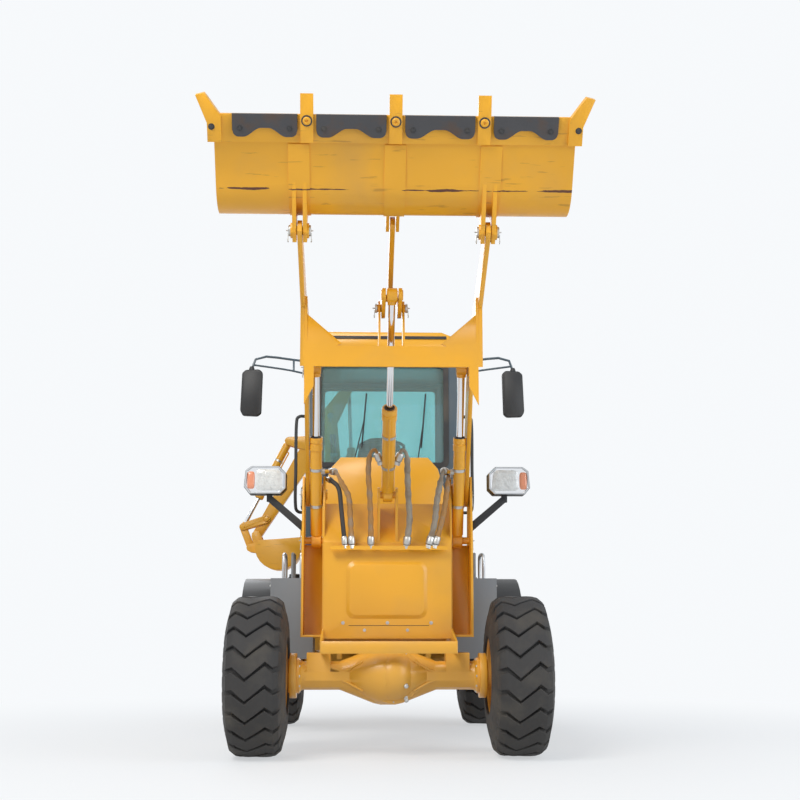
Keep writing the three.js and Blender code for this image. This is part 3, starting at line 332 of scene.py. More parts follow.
def lathe(profile, centre, axis, sides=48, closed=False):
    """A profile of (along, radius) turned about an axis: point = centre + along*a + radius*(cos, sin).

    The profile runs from low to high along the axis. It is capped at its ends, or joined to itself if closed.
    """
    frame3 = AXES[axis] if isinstance(axis, str) else axis
    profile = np.array(profile, float)
    turn = np.arange(sides) * 2 * np.pi / sides
    local = np.stack([profile[:, 1:2] * np.cos(turn), profile[:, 1:2] * np.sin(turn),
                      np.repeat(profile[:, :1], sides, 1)], -1)
    points = local.reshape(-1, 3) @ frame3.T + np.array(centre)
    faces = grid_faces(len(profile), sides, wrap_rows=closed)
    return points, faces if closed else faces + end_faces(len(profile), sides)


def plate(outline, axis, low, high, offset=(0, 0, 0)):
    """A flat outline of (u, v) points pulled along an axis from low to high, with its corners as they are.

    Along x the outline is (y, z), along y it is (z, x), along z it is (x, y), each counter-clockwise.
    """
    flat = np.array(outline, float)
    area = np.sum(flat[:, 0] * np.roll(flat[:, 1], -1) - flat[:, 1] * np.roll(flat[:, 0], -1))
    if area < 0:
        flat = flat[::-1]
    count = len(flat)
    local = np.concatenate([np.c_[flat, np.full(count, low)], np.c_[flat, np.full(count, high)]])
    return local @ AXES[axis].T + np.array(offset), grid_faces(2, count) + end_faces(2, count)


def block(low, high):
    """A rectangular plate between two corners."""
    (x0, y0, z0), (x1, y1, z1) = low, high
    return plate([(x0, y0), (x1, y0), (x1, y1), (x0, y1)], "z", z0, z1)


def smooth_path(points, steps=10):
    """Catmull-Rom curve: passes each point with the slope of its two neighbours, as one array of points."""
    p = np.array(points, float)
    p = np.vstack([2 * p[0] - p[1], p, 2 * p[-1] - p[-2]])
    t = np.linspace(0, 1, steps, endpoint=False)[:, None]
    runs = [
        0.5 * (2 * b + (c - a) * t + (2 * a - 5 * b + 4 * c - d) * t**2 + (3 * b - a - 3 * c + d) * t**3)
        for a, b, c, d in zip(p[:-3], p[1:-2], p[2:-1], p[3:])
    ]
    return np.vstack([*runs, p[-2:-1]])


def pipe(path, radius, sides=12, flat=1.0):
    """A round section carried along a path: each ring stands square to it, turned as little as possible."""
    path = np.array(path, float)
    radius = np.broadcast_to(radius, len(path))
    slope = np.gradient(path, axis=0)
    slope /= np.linalg.norm(slope, axis=1)[:, None]
    side = np.cross(slope[0], [0.13, 0.31, 0.94])
    turn = np.arange(sides) * 2 * np.pi / sides
    rings = []
    for here, way, size in zip(path, slope, radius):
        side = side - way * (side @ way)
        side /= np.linalg.norm(side)
        up = np.cross(way, side)
        rings.append(here + size * (np.outer(np.cos(turn), side) + flat * np.outer(np.sin(turn), up)))
    return np.vstack(rings), grid_faces(len(path), sides) + end_faces(len(path), sides)


def bent(points, radius, steps=8, flat=1.0):
    """A pipe along a smooth curve through points given from the pivot."""
    return pipe(smooth_path([at(*p) for p in points], steps), radius, flat=flat)


def looking(way):
    """Three unit columns: two across, and the last along way."""
    way = np.array(way, float) / np.linalg.norm(way)
    across = np.cross(way, [0.0, 0.0, 1.0] if abs(way[2]) < 0.9 else [1.0, 0.0, 0.0])
    across /= np.linalg.norm(across)
    return np.stack([across, np.cross(way, across), way], 1)


def bolt(centre, way, size=0.012):
    """Hexagon head on a washer, standing out along way."""
    frame3 = looking(way)
    head = lathe([(0.0, size), (size * 0.62, size), (size * 0.75, size * 0.86)], centre, frame3, 6)
    return joined(head, lathe([(-0.001, size * 1.35), (size * 0.2, size * 1.35)], centre, frame3, 20))


def joined(*shells):
    """Several shells as one: the points one after another, each shell's faces counted on from the last."""
    points, faces, start = [], [], 0
    for p, f in shells:
        points.append(p)
        faces += [[v + start for v in face] for face in f]
        start += len(p)
    return np.vstack(points), faces


def number(finish_number, shells):
    """The shells with a finish number each, for a piece that has several finishes."""
    return [(*shell, finish_number) for shell in shells]


def turned_copies(shell, centre, count):
    """count copies of a shell spread round the x axis through centre: point rotated by 2 pi k / count."""
    p, f = shell
    shells = []
    for k in range(count):
        a = 2 * np.pi * k / count
        turn = np.array([[1, 0, 0], [0, np.cos(a), -np.sin(a)], [0, np.sin(a), np.cos(a)]])
        shells.append(((p - centre) @ turn.T + centre, f))
    return joined(*shells)


def piece(name, body, slot, finishes, *shells, bevel=0.0, smooth=35.0, replaces=()):
    """Joins shells into one object that rides on a body. A shell may be (points, faces, finish number)."""
    points, faces, which, start = [], [], [], 0
    for shell in shells:
        points.append(shell[0])
        faces += [[v + start for v in face] for face in shell[1]]
        which += [shell[2] if len(shell) > 2 else 0] * len(shell[1])
        start += len(shell[0])
    mesh = bpy.data.meshes.new(name)
    mesh.from_pydata(np.vstack(points).tolist(), [], faces)
    for m in finishes if isinstance(finishes, (list, tuple)) else [finishes]:
        mesh.materials.append(m)
    mesh.polygons.foreach_set("material_index", np.array(which, np.int32))
    mesh.shade_smooth()
    mesh.set_sharp_from_angle(angle=math.radians(smooth))
    mesh.update()
    thing = bpy.data.objects.new(name, mesh)
    scene.collection.objects.link(thing)
    if bevel:
        soften(thing, bevel)
    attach(thing, body)
    if replaces:
        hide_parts(*replaces)
    print(f"{name}: {len(mesh.vertices)} points, {len(mesh.polygons)} faces")
    return thing


def soften(thing, width, angle=38):
    """Rounds every edge sharper than angle by width, as weld, paint and pressing do."""
    edge = thing.modifiers.new("edge", "BEVEL")
    edge.width = width
    edge.segments = 2
    edge.limit_method = "ANGLE"
    edge.angle_limit = math.radians(angle)
    edge.use_clamp_overlap = True
    edge.harden_normals = True


print("shapes ready")

# %% [markdown]
# Pieces of the solid frame that are already the right shape only need their finish and a soft edge. Their
# triangles are loose, so a Weld modifier sews them first, then a Bevel rounds the edges so that they
# catch the light like folded and ground plate.

# %% Finish the frame's own plates
SEW_GAP = 0.00002


def dress(node, material, edge=0.004):
    """Gives a frame node its finish, sewn and with softened edges."""
    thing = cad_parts[node]
    thing.data.materials.clear()
    thing.data.materials.append(material)
    if edge:
        thing.modifiers.new("sew", "WELD").merge_threshold = SEW_GAP
        soften(thing, edge, 30)
    thing.data.shade_smooth()


for node in ("front_frame", "rear_frame", "front_axle", "rear_axle", "rocker", "bucket_link", "swing_post",
             "hoe_boom", "hoe_dipper", "hoe_guide_link", "hoe_bucket_link", "stabilizer_left",
             "stabilizer_right"):
    dress(node, yellow)
dress("loader_arm", yellow, 0.005)
dress("loader_bucket", bucket_yellow, 0.003)
dress("hoe_bucket", bucket_yellow, 0.003)
dress("hood", yellow, 0.008)
dress("cab_roof", yellow, 0.02)
dress("cab_frame", slate, 0.006)
for side, s in SIDES:
    dress(f"door_{side}", slate, 0.006)
    dress(f"fender_{side}", black, 0.006)
    dress(f"headlamp_{side}", black, 0.006)
    dress(f"mirror_{side}", black, 0.012)
    dress(f"door_glass_{side}", glass, 0)
dress("windshield", glass, 0)
dress("rear_window", glass, 0)
dress("fuel_tank", grey, 0.012)
dress("hydraulic_tank", grey, 0.012)
dress("engine_block", dark_iron, 0.01)
dress("dashboard", black, 0.008)
print("frame pieces dressed", len(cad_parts))

# %% [markdown]
# ## Tyres
# A wide square-shouldered earthmover tyre: heavy blocks run right across the tread, parted by narrow
# zigzag grooves that open towards the shoulders. The body is one closed profile turned on the axle. One
# block is swept over that same profile along its zigzag, and then copied round the wheel.

# %% Tyre body and lugs
HALF_TRACK, AXLE_HEIGHT = 0.885, 0.537
TYRE_RADIUS, TYRE_HALF, BEAD = 0.533, 0.206, 0.262
LUG_HEIGHT, LUG_COUNT = 0.030, 23
LUG_FOOT, LUG_EASE = 0.012, 0.004
GROOVE_LINE = [(-1.0, 0.02), (-0.62, -0.16), (-0.22, 0.30), (0.42, -0.42), (0.66, -0.14), (1.0, -0.34)]
WHEELS = [(f"{end}_{side}", s, at(s * HALF_TRACK, y, AXLE_HEIGHT))
          for end, y in (("front", FRONT_AXLE), ("rear", REAR_AXLE)) for side, s in SIDES]


def carcass(across):
    """Radius of the tyre's body at a place across it: a flat crown that falls away as a superellipse."""
    u = np.abs(across) / TYRE_HALF
    return BEAD + (TYRE_RADIUS - LUG_HEIGHT - BEAD) * np.clip(1 - u**5.5, 0, 1) ** (1 / 2.4)


def tyre_body(centre):
    """Closed profile: crown and side walls outside, with moulded rings, and the bead inside."""
    t = np.linspace(-1, 1, 41)
    across = TYRE_HALF * np.sin(t * np.pi / 2)
    outside = np.c_[across, carcass(across)]
    rib = 0.004 * (np.abs(((outside[:, 1] - BEAD) * 28) % 1 - 0.5) < 0.16) * (np.abs(t) > 0.75)
    outside[:, 0] += np.sign(outside[:, 0]) * rib
    inside = [(TYRE_HALF * 0.93, BEAD - 0.006), (TYRE_HALF * 0.85, BEAD + 0.012),
              (-TYRE_HALF * 0.85, BEAD + 0.012), (-TYRE_HALF * 0.93, BEAD - 0.006)]
    return lathe(np.vstack([outside, inside]), centre, "x", 96, closed=True)


def lug(centre):
    """A block right across the tread: its middle follows a zigzag, and its width shrinks to the shoulders."""
    pitch = 2 * np.pi / LUG_COUNT
    u = np.unique(np.r_[np.linspace(-1, 1, 13), [x for x, _ in GROOVE_LINE]])
    across = TYRE_HALF * 0.985 * u
    drift = pitch * np.interp(u, *np.array(GROOVE_LINE).T)
    half = pitch / 2 * (0.90 - 0.20 * np.abs(u) ** 1.5)
    top = np.minimum(carcass(across) + LUG_HEIGHT * np.where(np.abs(u) > 0.93, 0.55, 1.0), TYRE_RADIUS)
    foot = carcass(across) - LUG_FOOT
    rings = []
    for radius, spread in ((foot, 1.04), (top - LUG_EASE, 0.97), (top, 0.90), (top, -0.90),
                           (top - LUG_EASE, -0.97), (foot, -1.04)):
        a = drift + half * spread
        rings.append(np.c_[across, -radius * np.sin(a), radius * np.cos(a)])
    count = len(rings)
    points = np.stack(rings, 1).reshape(-1, 3) + centre
    return points, flipped(grid_faces(len(u), count) + end_faces(len(u), count))


for wheel, s, centre in WHEELS:
    piece(f"{wheel}_tread", f"{wheel}_wheel", "tyre_rubber", tyre_black, tyre_body(centre),
          turned_copies(lug(centre), centre, LUG_COUNT), smooth=30, replaces=[f"{wheel}_tyre"])

# %% [markdown]
# ## Rims and hubs
# A pressed steel rim: a rolled edge, a deep well and a dished disc, with a ring of wheel nuts round the
# hub. It is one lathe profile, with real nuts and a valve stem added because they give the scale away.

# %% Rims
DISC = 0.06
NUT_CIRCLE, NUT_COUNT = 0.105, 8
RIM = [(-0.20, 0.268), (-0.196, 0.279), (-0.185, 0.272), (-0.17, 0.258), (-0.08, 0.246), (-0.06, 0.225),
       (0.06, 0.225), (0.08, 0.246), (0.17, 0.258), (0.185, 0.272), (0.196, 0.279), (0.20, 0.268),
       (0.18, 0.245), (0.10, 0.228), (0.05, 0.205), (DISC - 0.02, 0.185), (DISC - 0.055, 0.16),
       (DISC - 0.045, 0.145), (DISC, 0.13), (DISC, 0.086), (DISC - 0.014, 0.086), (DISC - 0.014, 0.125),
       (DISC - 0.06, 0.14), (DISC - 0.07, 0.162), (DISC - 0.034, 0.19), (0.0, 0.205), (-0.10, 0.228),
       (-0.18, 0.245)]
HUB = [(-0.02, 0.084), (DISC + 0.012, 0.084), (DISC + 0.02, 0.078), (DISC + 0.05, 0.07),
       (DISC + 0.062, 0.058), (DISC + 0.064, 0.02)]


def facing(profile, side):
    """A profile whose outer end looks to the given side: mirrored and read backwards for the right."""
    profile = np.array(profile)
    return profile if side > 0 else (profile * [-1, 1])[::-1]


for wheel, s, centre in WHEELS:
    face = centre + np.array([s * DISC, 0, 0])
    nut = bolt(face + np.array([0, 0, NUT_CIRCLE]), (s, 0, 0), 0.014)
    valve = pipe([face + [s * x, 0, z] for x, z in ((0.02, 0.20), (0.05, 0.205), (0.085, 0.20))], 0.005, 8)
    piece(f"{wheel}_disc", f"{wheel}_wheel", "rim_paint", [rim_yellow, zinc],
          lathe(facing(RIM, s), centre, "x", 64, closed=True), lathe(facing(HUB, s), centre, "x", 40),
          *number(1, [turned_copies(nut, centre, NUT_COUNT), valve]), smooth=30, replaces=[f"{wheel}_rim"])

# %% [markdown]
# ## Drive axles
# Each axle is one iron casting: a round bowl for the bevel gears, a nose towards the shaft, tapering arms
# and a hub reduction at each end. Bowl and arms are lathe shapes on different axes that run into each
# other, as the casting does. A ring of bolts holds the bowl's cover and each hub.

# %% Axles
BALL_OFFSET, BALL_RADIUS = 0.036, 0.172
COVER_BOLTS, COVER_CIRCLE, HUB_BOLTS, HUB_CIRCLE = 12, 0.171, 10, 0.106
HALF_ARM = [(0.05, 0.194), (0.10, 0.183), (0.36, 0.082), (0.50, 0.080), (0.585, 0.098), (0.60, 0.118),
            (0.66, 0.118), (0.675, 0.112)]


def axle(y, nose):
    """Banjo housing: bowl turned about y, arms about x, bolt rings, and a nose towards the drive shaft."""
    c = at(0, y, AXLE_HEIGHT)
    ball = c + [BALL_OFFSET, 0, 0]
    t = np.linspace(-1.45, 1.45, 23)
    bowl = lathe(np.c_[BALL_RADIUS * np.sin(t), BALL_RADIUS * np.cos(t)], [0, 0, 0], "y", 72)
    bowl = (bowl[0] * [1, 1.16, 1.1] + ball, bowl[1])
    arms = lathe([(-along, radius) for along, radius in HALF_ARM[::-1]] + HALF_ARM, [0, 0, 0], "x", 56)
    flat = 0.62 + 0.38 * np.clip((np.abs(arms[0][:, :1]) - 0.10) / 0.28, 0, 1)
    arms = (arms[0] * np.c_[np.ones_like(flat), flat, np.ones_like(flat)] + c, arms[1])
    ring = lathe([(-0.012, 0.160), (-0.010, 0.181), (0.010, 0.181), (0.012, 0.160)],
                 ball + [0, -nose * 0.088, 0], "y", 64)
    ribs = [pipe([c + [s * 0.37, -nose * 0.070, up * 0.012], c + [s * 0.28, -nose * 0.088, up * 0.040],
                  c + [s * 0.17, -nose * 0.098, up * 0.098]], 0.008, 10) for s in (-1, 1) for up in (-1, 1)]
    neck = lathe(facing([(-0.13, 0.055), (-0.13, 0.07), (0.0, 0.085), (0.05, 0.09)], nose),
                 c + [0, nose * 0.19, 0], "y", 40)
    bolts = []
    for a in 2 * np.pi * np.arange(COVER_BOLTS) / COVER_BOLTS:
        place = ball + [COVER_CIRCLE * np.cos(a), -nose * 0.095, COVER_CIRCLE * np.sin(a)]
        bolts.append(bolt(place, (0, -nose, 0), 0.006))
    for s in (-1, 1):
        for a in 2 * np.pi * np.arange(HUB_BOLTS) / HUB_BOLTS:
            place = c + [s * 0.598, HUB_CIRCLE * np.cos(a), HUB_CIRCLE * np.sin(a)]
            bolts.append(bolt(place, (-s, 0, 0), 0.009))
    plugs = [lathe([(-0.03, 0.017), (0.014, 0.017), (0.02, 0.010)], ball + [0.08, -nose * 0.163, -0.06],
                   looking((0.3, -nose, -0.2)), 6),
             lathe([(-0.03, 0.015), (0.012, 0.015), (0.018, 0.009)], ball + [0.085, -nose * 0.10, -0.155],
                   looking((0.3, -nose * 0.3, -1)), 6)]
    return [bowl, arms, ring, neck, *ribs], bolts + plugs


for end, y, nose, body in (("front", FRONT_AXLE, 1, "front_chassis"), ("rear", REAR_AXLE, -1, "chassis")):
    casting, fixings = axle(y, nose)
    piece(f"{end}_axle_casting", body, "yellow_paint", [yellow, zinc], *casting, *number(1, fixings),
          smooth=40)

# %% [markdown]
# ## Hydraulic cylinders
# A cylinder is a tube with a welded eye, a threaded gland at the mouth and a ground, chromed rod. Barrel
# and rod are lathe profiles set along the line between their two pins. A thin steel line clipped to the
# barrel carries oil to the gland, and it makes a plain tube read as a working cylinder.

# %% Barrel, rod and eye
def eye_ring(centre, way, outer, bore, width):
    """Ring about a pin: closed profile of a rectangle with eased corners."""
    half, ease = width / 2, 0.004
    ring = [(-half, bore), (-half, outer - ease), (-half + ease, outer), (half - ease, outer),
            (half, outer - ease), (half, bore)]
    return lathe(ring, centre, looking(way), 40, closed=True)


def ram(name, base, pin, sizes, way, bodies, bore=0.027, paint=yellow):
    """A cylinder from the eye at base to the eye at pin, whose pins lie along way.

    Sizes are the radii of tube and rod, how far the barrel reaches from base, where the rod begins inside
    it, and the radius and width of the eyes.
    """
    tube, rod, reach, insert, eye, width = sizes
    span = np.linalg.norm(pin - base)
    line = (pin - base) / span
    turn3 = looking(line)
    wall = rod + 0.006
    outside = [(eye * 0.75, tube * 0.8), (eye * 0.95, tube)]
    gland = ((0.095, 1), (0.092, 1.13), (0.05, 1.13), (0.046, 1.02), (0.040, 1.02), (0.036, 1.13),
             (0.006, 1.13), (0, 1.06))
    outside += [(reach - back, tube * swell) for back, swell in gland]
    inside = [(reach, wall), (eye + 0.02, wall), (eye + 0.02, tube * 0.5)]
    barrel = lathe(outside + inside, base, turn3, 48, closed=True)
    wiper = lathe([(reach - 0.004, wall + 0.009), (reach + 0.005, wall + 0.007), (reach + 0.005, wall),
                   (reach - 0.004, wall)], base, turn3, 40, closed=True)
    across = turn3[:, 0] if abs(turn3[:, 0] @ np.array(way, float)) < 0.7 else turn3[:, 1]
    clear = tube + 0.014
    oil = [(0.10, tube * 0.9), (0.11, clear), (0.16, clear), (reach * 0.5, clear), (reach - 0.10, clear),
           (reach - 0.065, tube)]
    oil = smooth_path([base + line * along + across * off for along, off in oil], 8)
    low, high = tube + 0.001, tube + 0.004
    clamps = [lathe([(d, low), (d, high), (d + 0.02, high), (d + 0.02, low)], base, turn3, 40, closed=True)
              for d in (reach * 0.33, reach * 0.68)]
    piece(f"{name}_cylinder", bodies[0], "yellow_paint" if paint is yellow else "black_plastic",
          [paint, black, zinc], barrel, eye_ring(base, way, eye, bore, width), (*wiper, 1),
          pipe(oil, 0.007, 10), *number(2, clamps), smooth=38, replaces=[bodies[0]])
    shaft = lathe([(insert, rod * 0.96), (insert + 0.004, rod), (span - eye * 0.8, rod)], base, turn3, 40)
    head = lathe([(span - eye * 1.25, rod * 1.02), (span - eye * 1.2, rod * 1.28),
                  (span - eye * 0.7, rod * 1.35)], base, turn3, 32)
    piece(f"{name}_piston", bodies[1], "rod_chrome", [chrome, paint], shaft,
          *number(1, [head, eye_ring(pin, way, eye * 0.9, bore, width)]), smooth=38, replaces=[bodies[1]])


ARM_PIVOT, ROCKER_PIVOT = (-0.88, 1.80), (-2.01, 2.915)
LIFT_X, LIFT_BASE, LIFT_PIN = 0.507, (-0.88, 1.47), (-1.38, 2.64)
TILT_BASE, TILT_ARM, TILT_RISE = (-1.10, 1.78), 0.22, math.radians(9)
STEERING_X, STEERING_Y, STEERING_Z = -0.17, 0.33, 1.01
LIFT_SIZES = (0.041, 0.025, 0.77, 0.69, 0.052, 0.07)
TILT_SIZES = (0.046, 0.022, 0.75, 0.62, 0.05, 0.066)
STEERING_SIZES = (0.031, 0.016, 0.40, 0.25, 0.034, 0.10)
ACROSS, UP = (1, 0, 0), (0, 0, 1)
for side, s in SIDES:
    ram(f"lift_{side}", at(s * LIFT_X, *LIFT_BASE), at(s * LIFT_X, *LIFT_PIN), LIFT_SIZES, ACROSS,
        (f"lift_barrel_{side}", f"lift_rod_{side}"))
for side, s in SIDES:
    port = bent([(s * 0.470, -1.080, 1.94), (s * 0.455, -1.085, 1.945), (s * 0.425, -1.06, 1.95)], 0.014, 6)
    union = lathe([(-0.016, 0.022), (0.016, 0.022)], at(s * 0.462, -1.085, 1.945), "x", 6)
    piece(f"lift_{side}_port", f"lift_barrel_{side}", "yellow_paint", [yellow, zinc], port, (*union, 1))
tilt_y = ROCKER_PIVOT[0] - TILT_ARM * math.cos(TILT_RISE)
tilt_z = ROCKER_PIVOT[1] + TILT_ARM * math.sin(TILT_RISE)
ram("tilt", at(0, *TILT_BASE), at(0, tilt_y, tilt_z), TILT_SIZES, ACROSS, ("tilt_barrel", "tilt_rod"))
ram("steering", at(STEERING_X, STEERING_Y, STEERING_Z), at(STEERING_X, -STEERING_Y, STEERING_Z),
    STEERING_SIZES, UP, ("steering_barrel", "steering_rod"), bore=0.012, paint=black)

# %% [markdown]
# The digging arm works in one upright plane that swings with its post. At rest it is swung to the
# machine's right, so its plane runs across, and its points are given as distance out and height.

# %% Digging arm cylinders
SWING_Y = 2.66
ELBOW, TAIL = np.array([0.49, 2.91]), (0.305, 3.218)
WRIST, BUCKET_LINK = np.array([1.21, 1.711]), np.array([1.262, 1.59])
GUIDE_FROM_WRIST, GUIDE, LINK = 0.19, 0.245, 0.225


def hoe(out, height, along=0.0):
    """A point of the folded digging arm: out from the machine's middle, up, and along its pins."""
    return at(-out, SWING_Y + along, height)


def crossing(a, ra, b, rb):
    """Where two circles meet, on the right of the line from a to b."""
    gap = np.linalg.norm(b - a)
    u = (b - a) / gap
    along = (ra**2 - rb**2 + gap**2) / (2 * gap)
    off = math.sqrt(ra**2 - along**2)
    return a + u * along + np.array([u[1], -u[0]]) * off


guide_root = WRIST - (WRIST - ELBOW) / np.linalg.norm(WRIST - ELBOW) * GUIDE_FROM_WRIST
guide_pin = crossing(BUCKET_LINK, LINK, guide_root, GUIDE)
for name, base, pin, reach, insert in (("boom", (0.54, 0.63), (0.575, 1.76), 0.59, 0.52),
                                       ("dipper", (0.255, 1.90), TAIL, 0.69, 0.63),
                                       ("bucket", (0.905, 2.655), guide_pin, 0.64, 0.56)):
    ram(f"hoe_{name}", hoe(*base), hoe(*pin), (0.039, 0.021, reach, insert, 0.038, 0.048), (0, 1, 0),
        (f"{name}_barrel", f"{name}_rod"), bore=0.02)

# %% [markdown]
# ## Pins, caps and bolts
# Every joint shows the end of a hardened pin, held by a small keeper plate and one bolt, with a grease
# nipple in the middle. These are tiny, but they are what the eye expects at each pivot.

# %% Pin ends
def pin_end(centre, way, radius):
    """Chamfered pin end with a keeper plate, a bolt and a grease nipple."""
    frame3 = looking(way)
    up = frame3[:, 1]
    end = lathe([(-0.004, radius), (0.008, radius), (0.011, radius - 0.003)], centre, frame3, 32)
    strip = [(-0.012, 0.0), (0.012, 0.0), (0.012, radius * 1.5), (-0.012, radius * 1.5)]
    flat = np.array([(u, v, w) for w in (0.010, 0.016) for u, v in strip])
    keeper = (centre + up * radius * 0.55 + flat @ frame3.T, grid_faces(2, 4) + end_faces(2, 4))
    screw = bolt(centre + up * radius * 1.75 + np.array(way, float) * 0.012, way, 0.008)
    nipple = lathe([(0.010, 0.005), (0.018, 0.005), (0.020, 0.003), (0.026, 0.0035)], centre, frame3, 10)
    return joined(end, keeper, screw, nipple)


# Each row: piece, body, and the pins' (distance from the middle, place, radius); below zero looks inward.
for name, body, pins in (
    ("arm_pin_ends", "loader_arm", ((0.584, LIFT_PIN, 0.034), (0.096, ROCKER_PIVOT, 0.030))),
    ("tower_pin_ends", "front_chassis", ((0.606, ARM_PIVOT, 0.040), (0.606, LIFT_BASE, 0.034))),
    ("bucket_pin_ends", "loader_bucket", ((0.628, BUCKET_PIVOT, 0.034), (-0.514, BUCKET_PIVOT, 0.034))),
):
    piece(name, body, "yellow_paint", zinc,
          *[pin_end(at(s * abs(x), *place), (math.copysign(s, s * x), 0, 0), radius)
            for x, place, radius in pins for s in (-1, 1)])
for name, body, place, off, radius in (("hoe_elbow_pins", "hoe_boom", ELBOW, 0.083, 0.03),
                                       ("hoe_wrist_pins", "hoe_bucket", WRIST, 0.082, 0.026)):
    piece(name, body, "yellow_paint", zinc,
          *[pin_end(hoe(*place, s * off), (0, s, 0), radius) for s in (-1, 1)])

# %% [markdown]
# ## Loader bucket
# The bucket is drawn level, with its hinge at zero, and then rolled back by the same angle as the solid
# bucket. Cast wear plates with an arched back edge are bolted under the lip between the teeth, and flat
# straps are welded on the floor to stiffen it.

# %% Wear plates, straps and tooth bolts
LIP, DROP, SETBACK, TOOTH_PITCH = 0.690, 0.020, 0.055, 0.52
UNDER = -DROP - 0.026
TOOTH_GAP, CORNER_GAP = 0.055, 0.085
HEEL_RADIUS = 0.22
DOWN = (0, 0, -1)


def rolled(shell):
    """Turns a level shell back about the bucket hinge: y' = y cos + z sin, z' = z cos - y sin."""
    p = shell[0]
    c, s = math.cos(ROLLBACK), math.sin(ROLLBACK)
    y, z = p[:, 1] * c + p[:, 2] * s, p[:, 2] * c - p[:, 1] * s
    return np.c_[p[:, 0], y, z] + at(0, *BUCKET_PIVOT), shell[1]


def wear_plate(x0, x1):
    """Plate whose back edge is cut by an arch: depth = full - cut * smoothstep(u), less the round corners."""
    u = np.linspace(0, 1, 61)
    rise = np.clip((0.33 - np.abs(u - 0.5)) / 0.27, 0, 1)
    corner = np.clip(np.minimum(u, 1 - u) / 0.10, 0, 1)
    back = 0.128 - 0.052 * rise**2 * (3 - 2 * rise) - 0.040 * (1 - np.sqrt(1 - (1 - corner) ** 2))
    outline = [(x0, -LIP - 0.018), *zip(x0 + (x1 - x0) * u, -LIP - 0.012 + back), (x1, -LIP - 0.018)]
    return plate(outline, "z", -DROP - 0.030, -DROP - 0.0125)


def floor_strap(x, width=0.127, thick=0.006, sunk=0.002):
    """Flat bar that follows the bucket floor from the lip round the heel: floor line, then the heel's arc."""
    heel_y, heel_z = -(HEEL_RADIUS + SETBACK), HEEL_RADIUS - DROP
    a = np.linspace(-np.pi / 2, -0.2, 14)
    floor_y = np.linspace(-LIP + 0.16, heel_y, 6)[:-1]
    c, s = np.cos(a), np.sin(a)
    line = np.r_[np.c_[floor_y, np.full(5, -DROP), np.zeros(5), -np.ones(5)],
                 np.c_[heel_y + HEEL_RADIUS * c, heel_z + HEEL_RADIUS * s, c, s]]
    ring = []
    for across, depth in ((-1, -sunk), (-1, thick), (1, thick), (1, -sunk)):
        ring.append(np.c_[np.full(len(line), x + across * width / 2), line[:, 0] + depth * line[:, 2],
                          line[:, 1] + depth * line[:, 3]])
    points = np.stack(ring, 1).reshape(-1, 3)
    return rolled((points, flipped(grid_faces(len(line), 4) + end_faces(len(line), 4))))


wear, plate_bolts = [], []
for a, b in ((-2, -1), (-1, 0), (0, 1), (1, 2)):
    x0 = a * TOOTH_PITCH + (TOOTH_GAP if a > -2 else CORNER_GAP)
    x1 = b * TOOTH_PITCH - (TOOTH_GAP if b < 2 else CORNER_GAP)
    wear.append(rolled(wear_plate(x0, x1)))
    for x in (x0 + 0.045, x1 - 0.045):
        plate_bolts.append(rolled(bolt([x, -LIP + 0.065, -DROP - 0.030], DOWN, 0.013)))
piece("bucket_wear_plates", "loader_bucket", "cast_iron", [wear_steel, dark_iron], *wear,
      *number(1, plate_bolts), bevel=0.005)
tooth_bolts, seats = [
    [rolled(lathe(profile, [k * TOOTH_PITCH, -LIP + 0.02, UNDER], looking(DOWN), 24)) for k in (-1, 0, 1)]
    for profile in ([(0.0, 0.024), (0.008, 0.024), (0.012, 0.018), (0.012, 0.009), (0.005, 0.007)],
                    [(-0.002, 0.033), (0.003, 0.033)])
]
corner_bolts = [rolled(bolt([s * 1.075, -LIP + 0.06, UNDER], DOWN, 0.014)) for s in (-1, 1)]
straps = [floor_strap(x) for x in (-0.57, 0.0, 0.57)]
piece("bucket_tooth_bolts", "loader_bucket", "yellow_paint", [bucket_yellow, dark_iron],
      *tooth_bolts, *straps, *number(1, corner_bolts + seats), smooth=30)

# %% [markdown]
# ## Front frame
# The towers are closed by one bolted cover with a pressed panel in the middle, which stiffens the sheet.
# The raised field is a rounded rectangle with a sloping edge, made from a few shrinking outlines.

# %% Pressed cover and its bolts
def rounded_outline(half_x, half_z, radius, steps=8):
    """Rectangle with quarter-circle corners, counter-clockwise."""
    a = np.linspace(0, np.pi / 2, steps)
    x, z = half_x - radius, half_z - radius
    corners = [(x, z, 0), (-x, z, np.pi / 2), (-x, -z, np.pi), (x, -z, 1.5 * np.pi)]
    return np.vstack([np.c_[u + radius * np.cos(a + t), v + radius * np.sin(a + t)] for u, v, t in corners])


def pressed_panel(centre, half_x, half_z, rise, slope, radius=0.06):
    """Outlines that shrink by slope while they rise towards -y, closed by a flat face."""
    rings = []
    for inset, height in ((0, 0.0), (slope * 0.25, rise * 0.15), (slope * 0.75, rise * 0.85), (slope, rise)):
        o = rounded_outline(half_x - inset, half_z - inset, radius - inset * 0.5)
        rings.append(np.c_[centre[0] + o[:, 0], np.full(len(o), centre[1] - height), centre[2] + o[:, 1]])
    return np.vstack(rings), grid_faces(len(rings), len(rings[0])) + end_faces(len(rings), len(rings[0]))


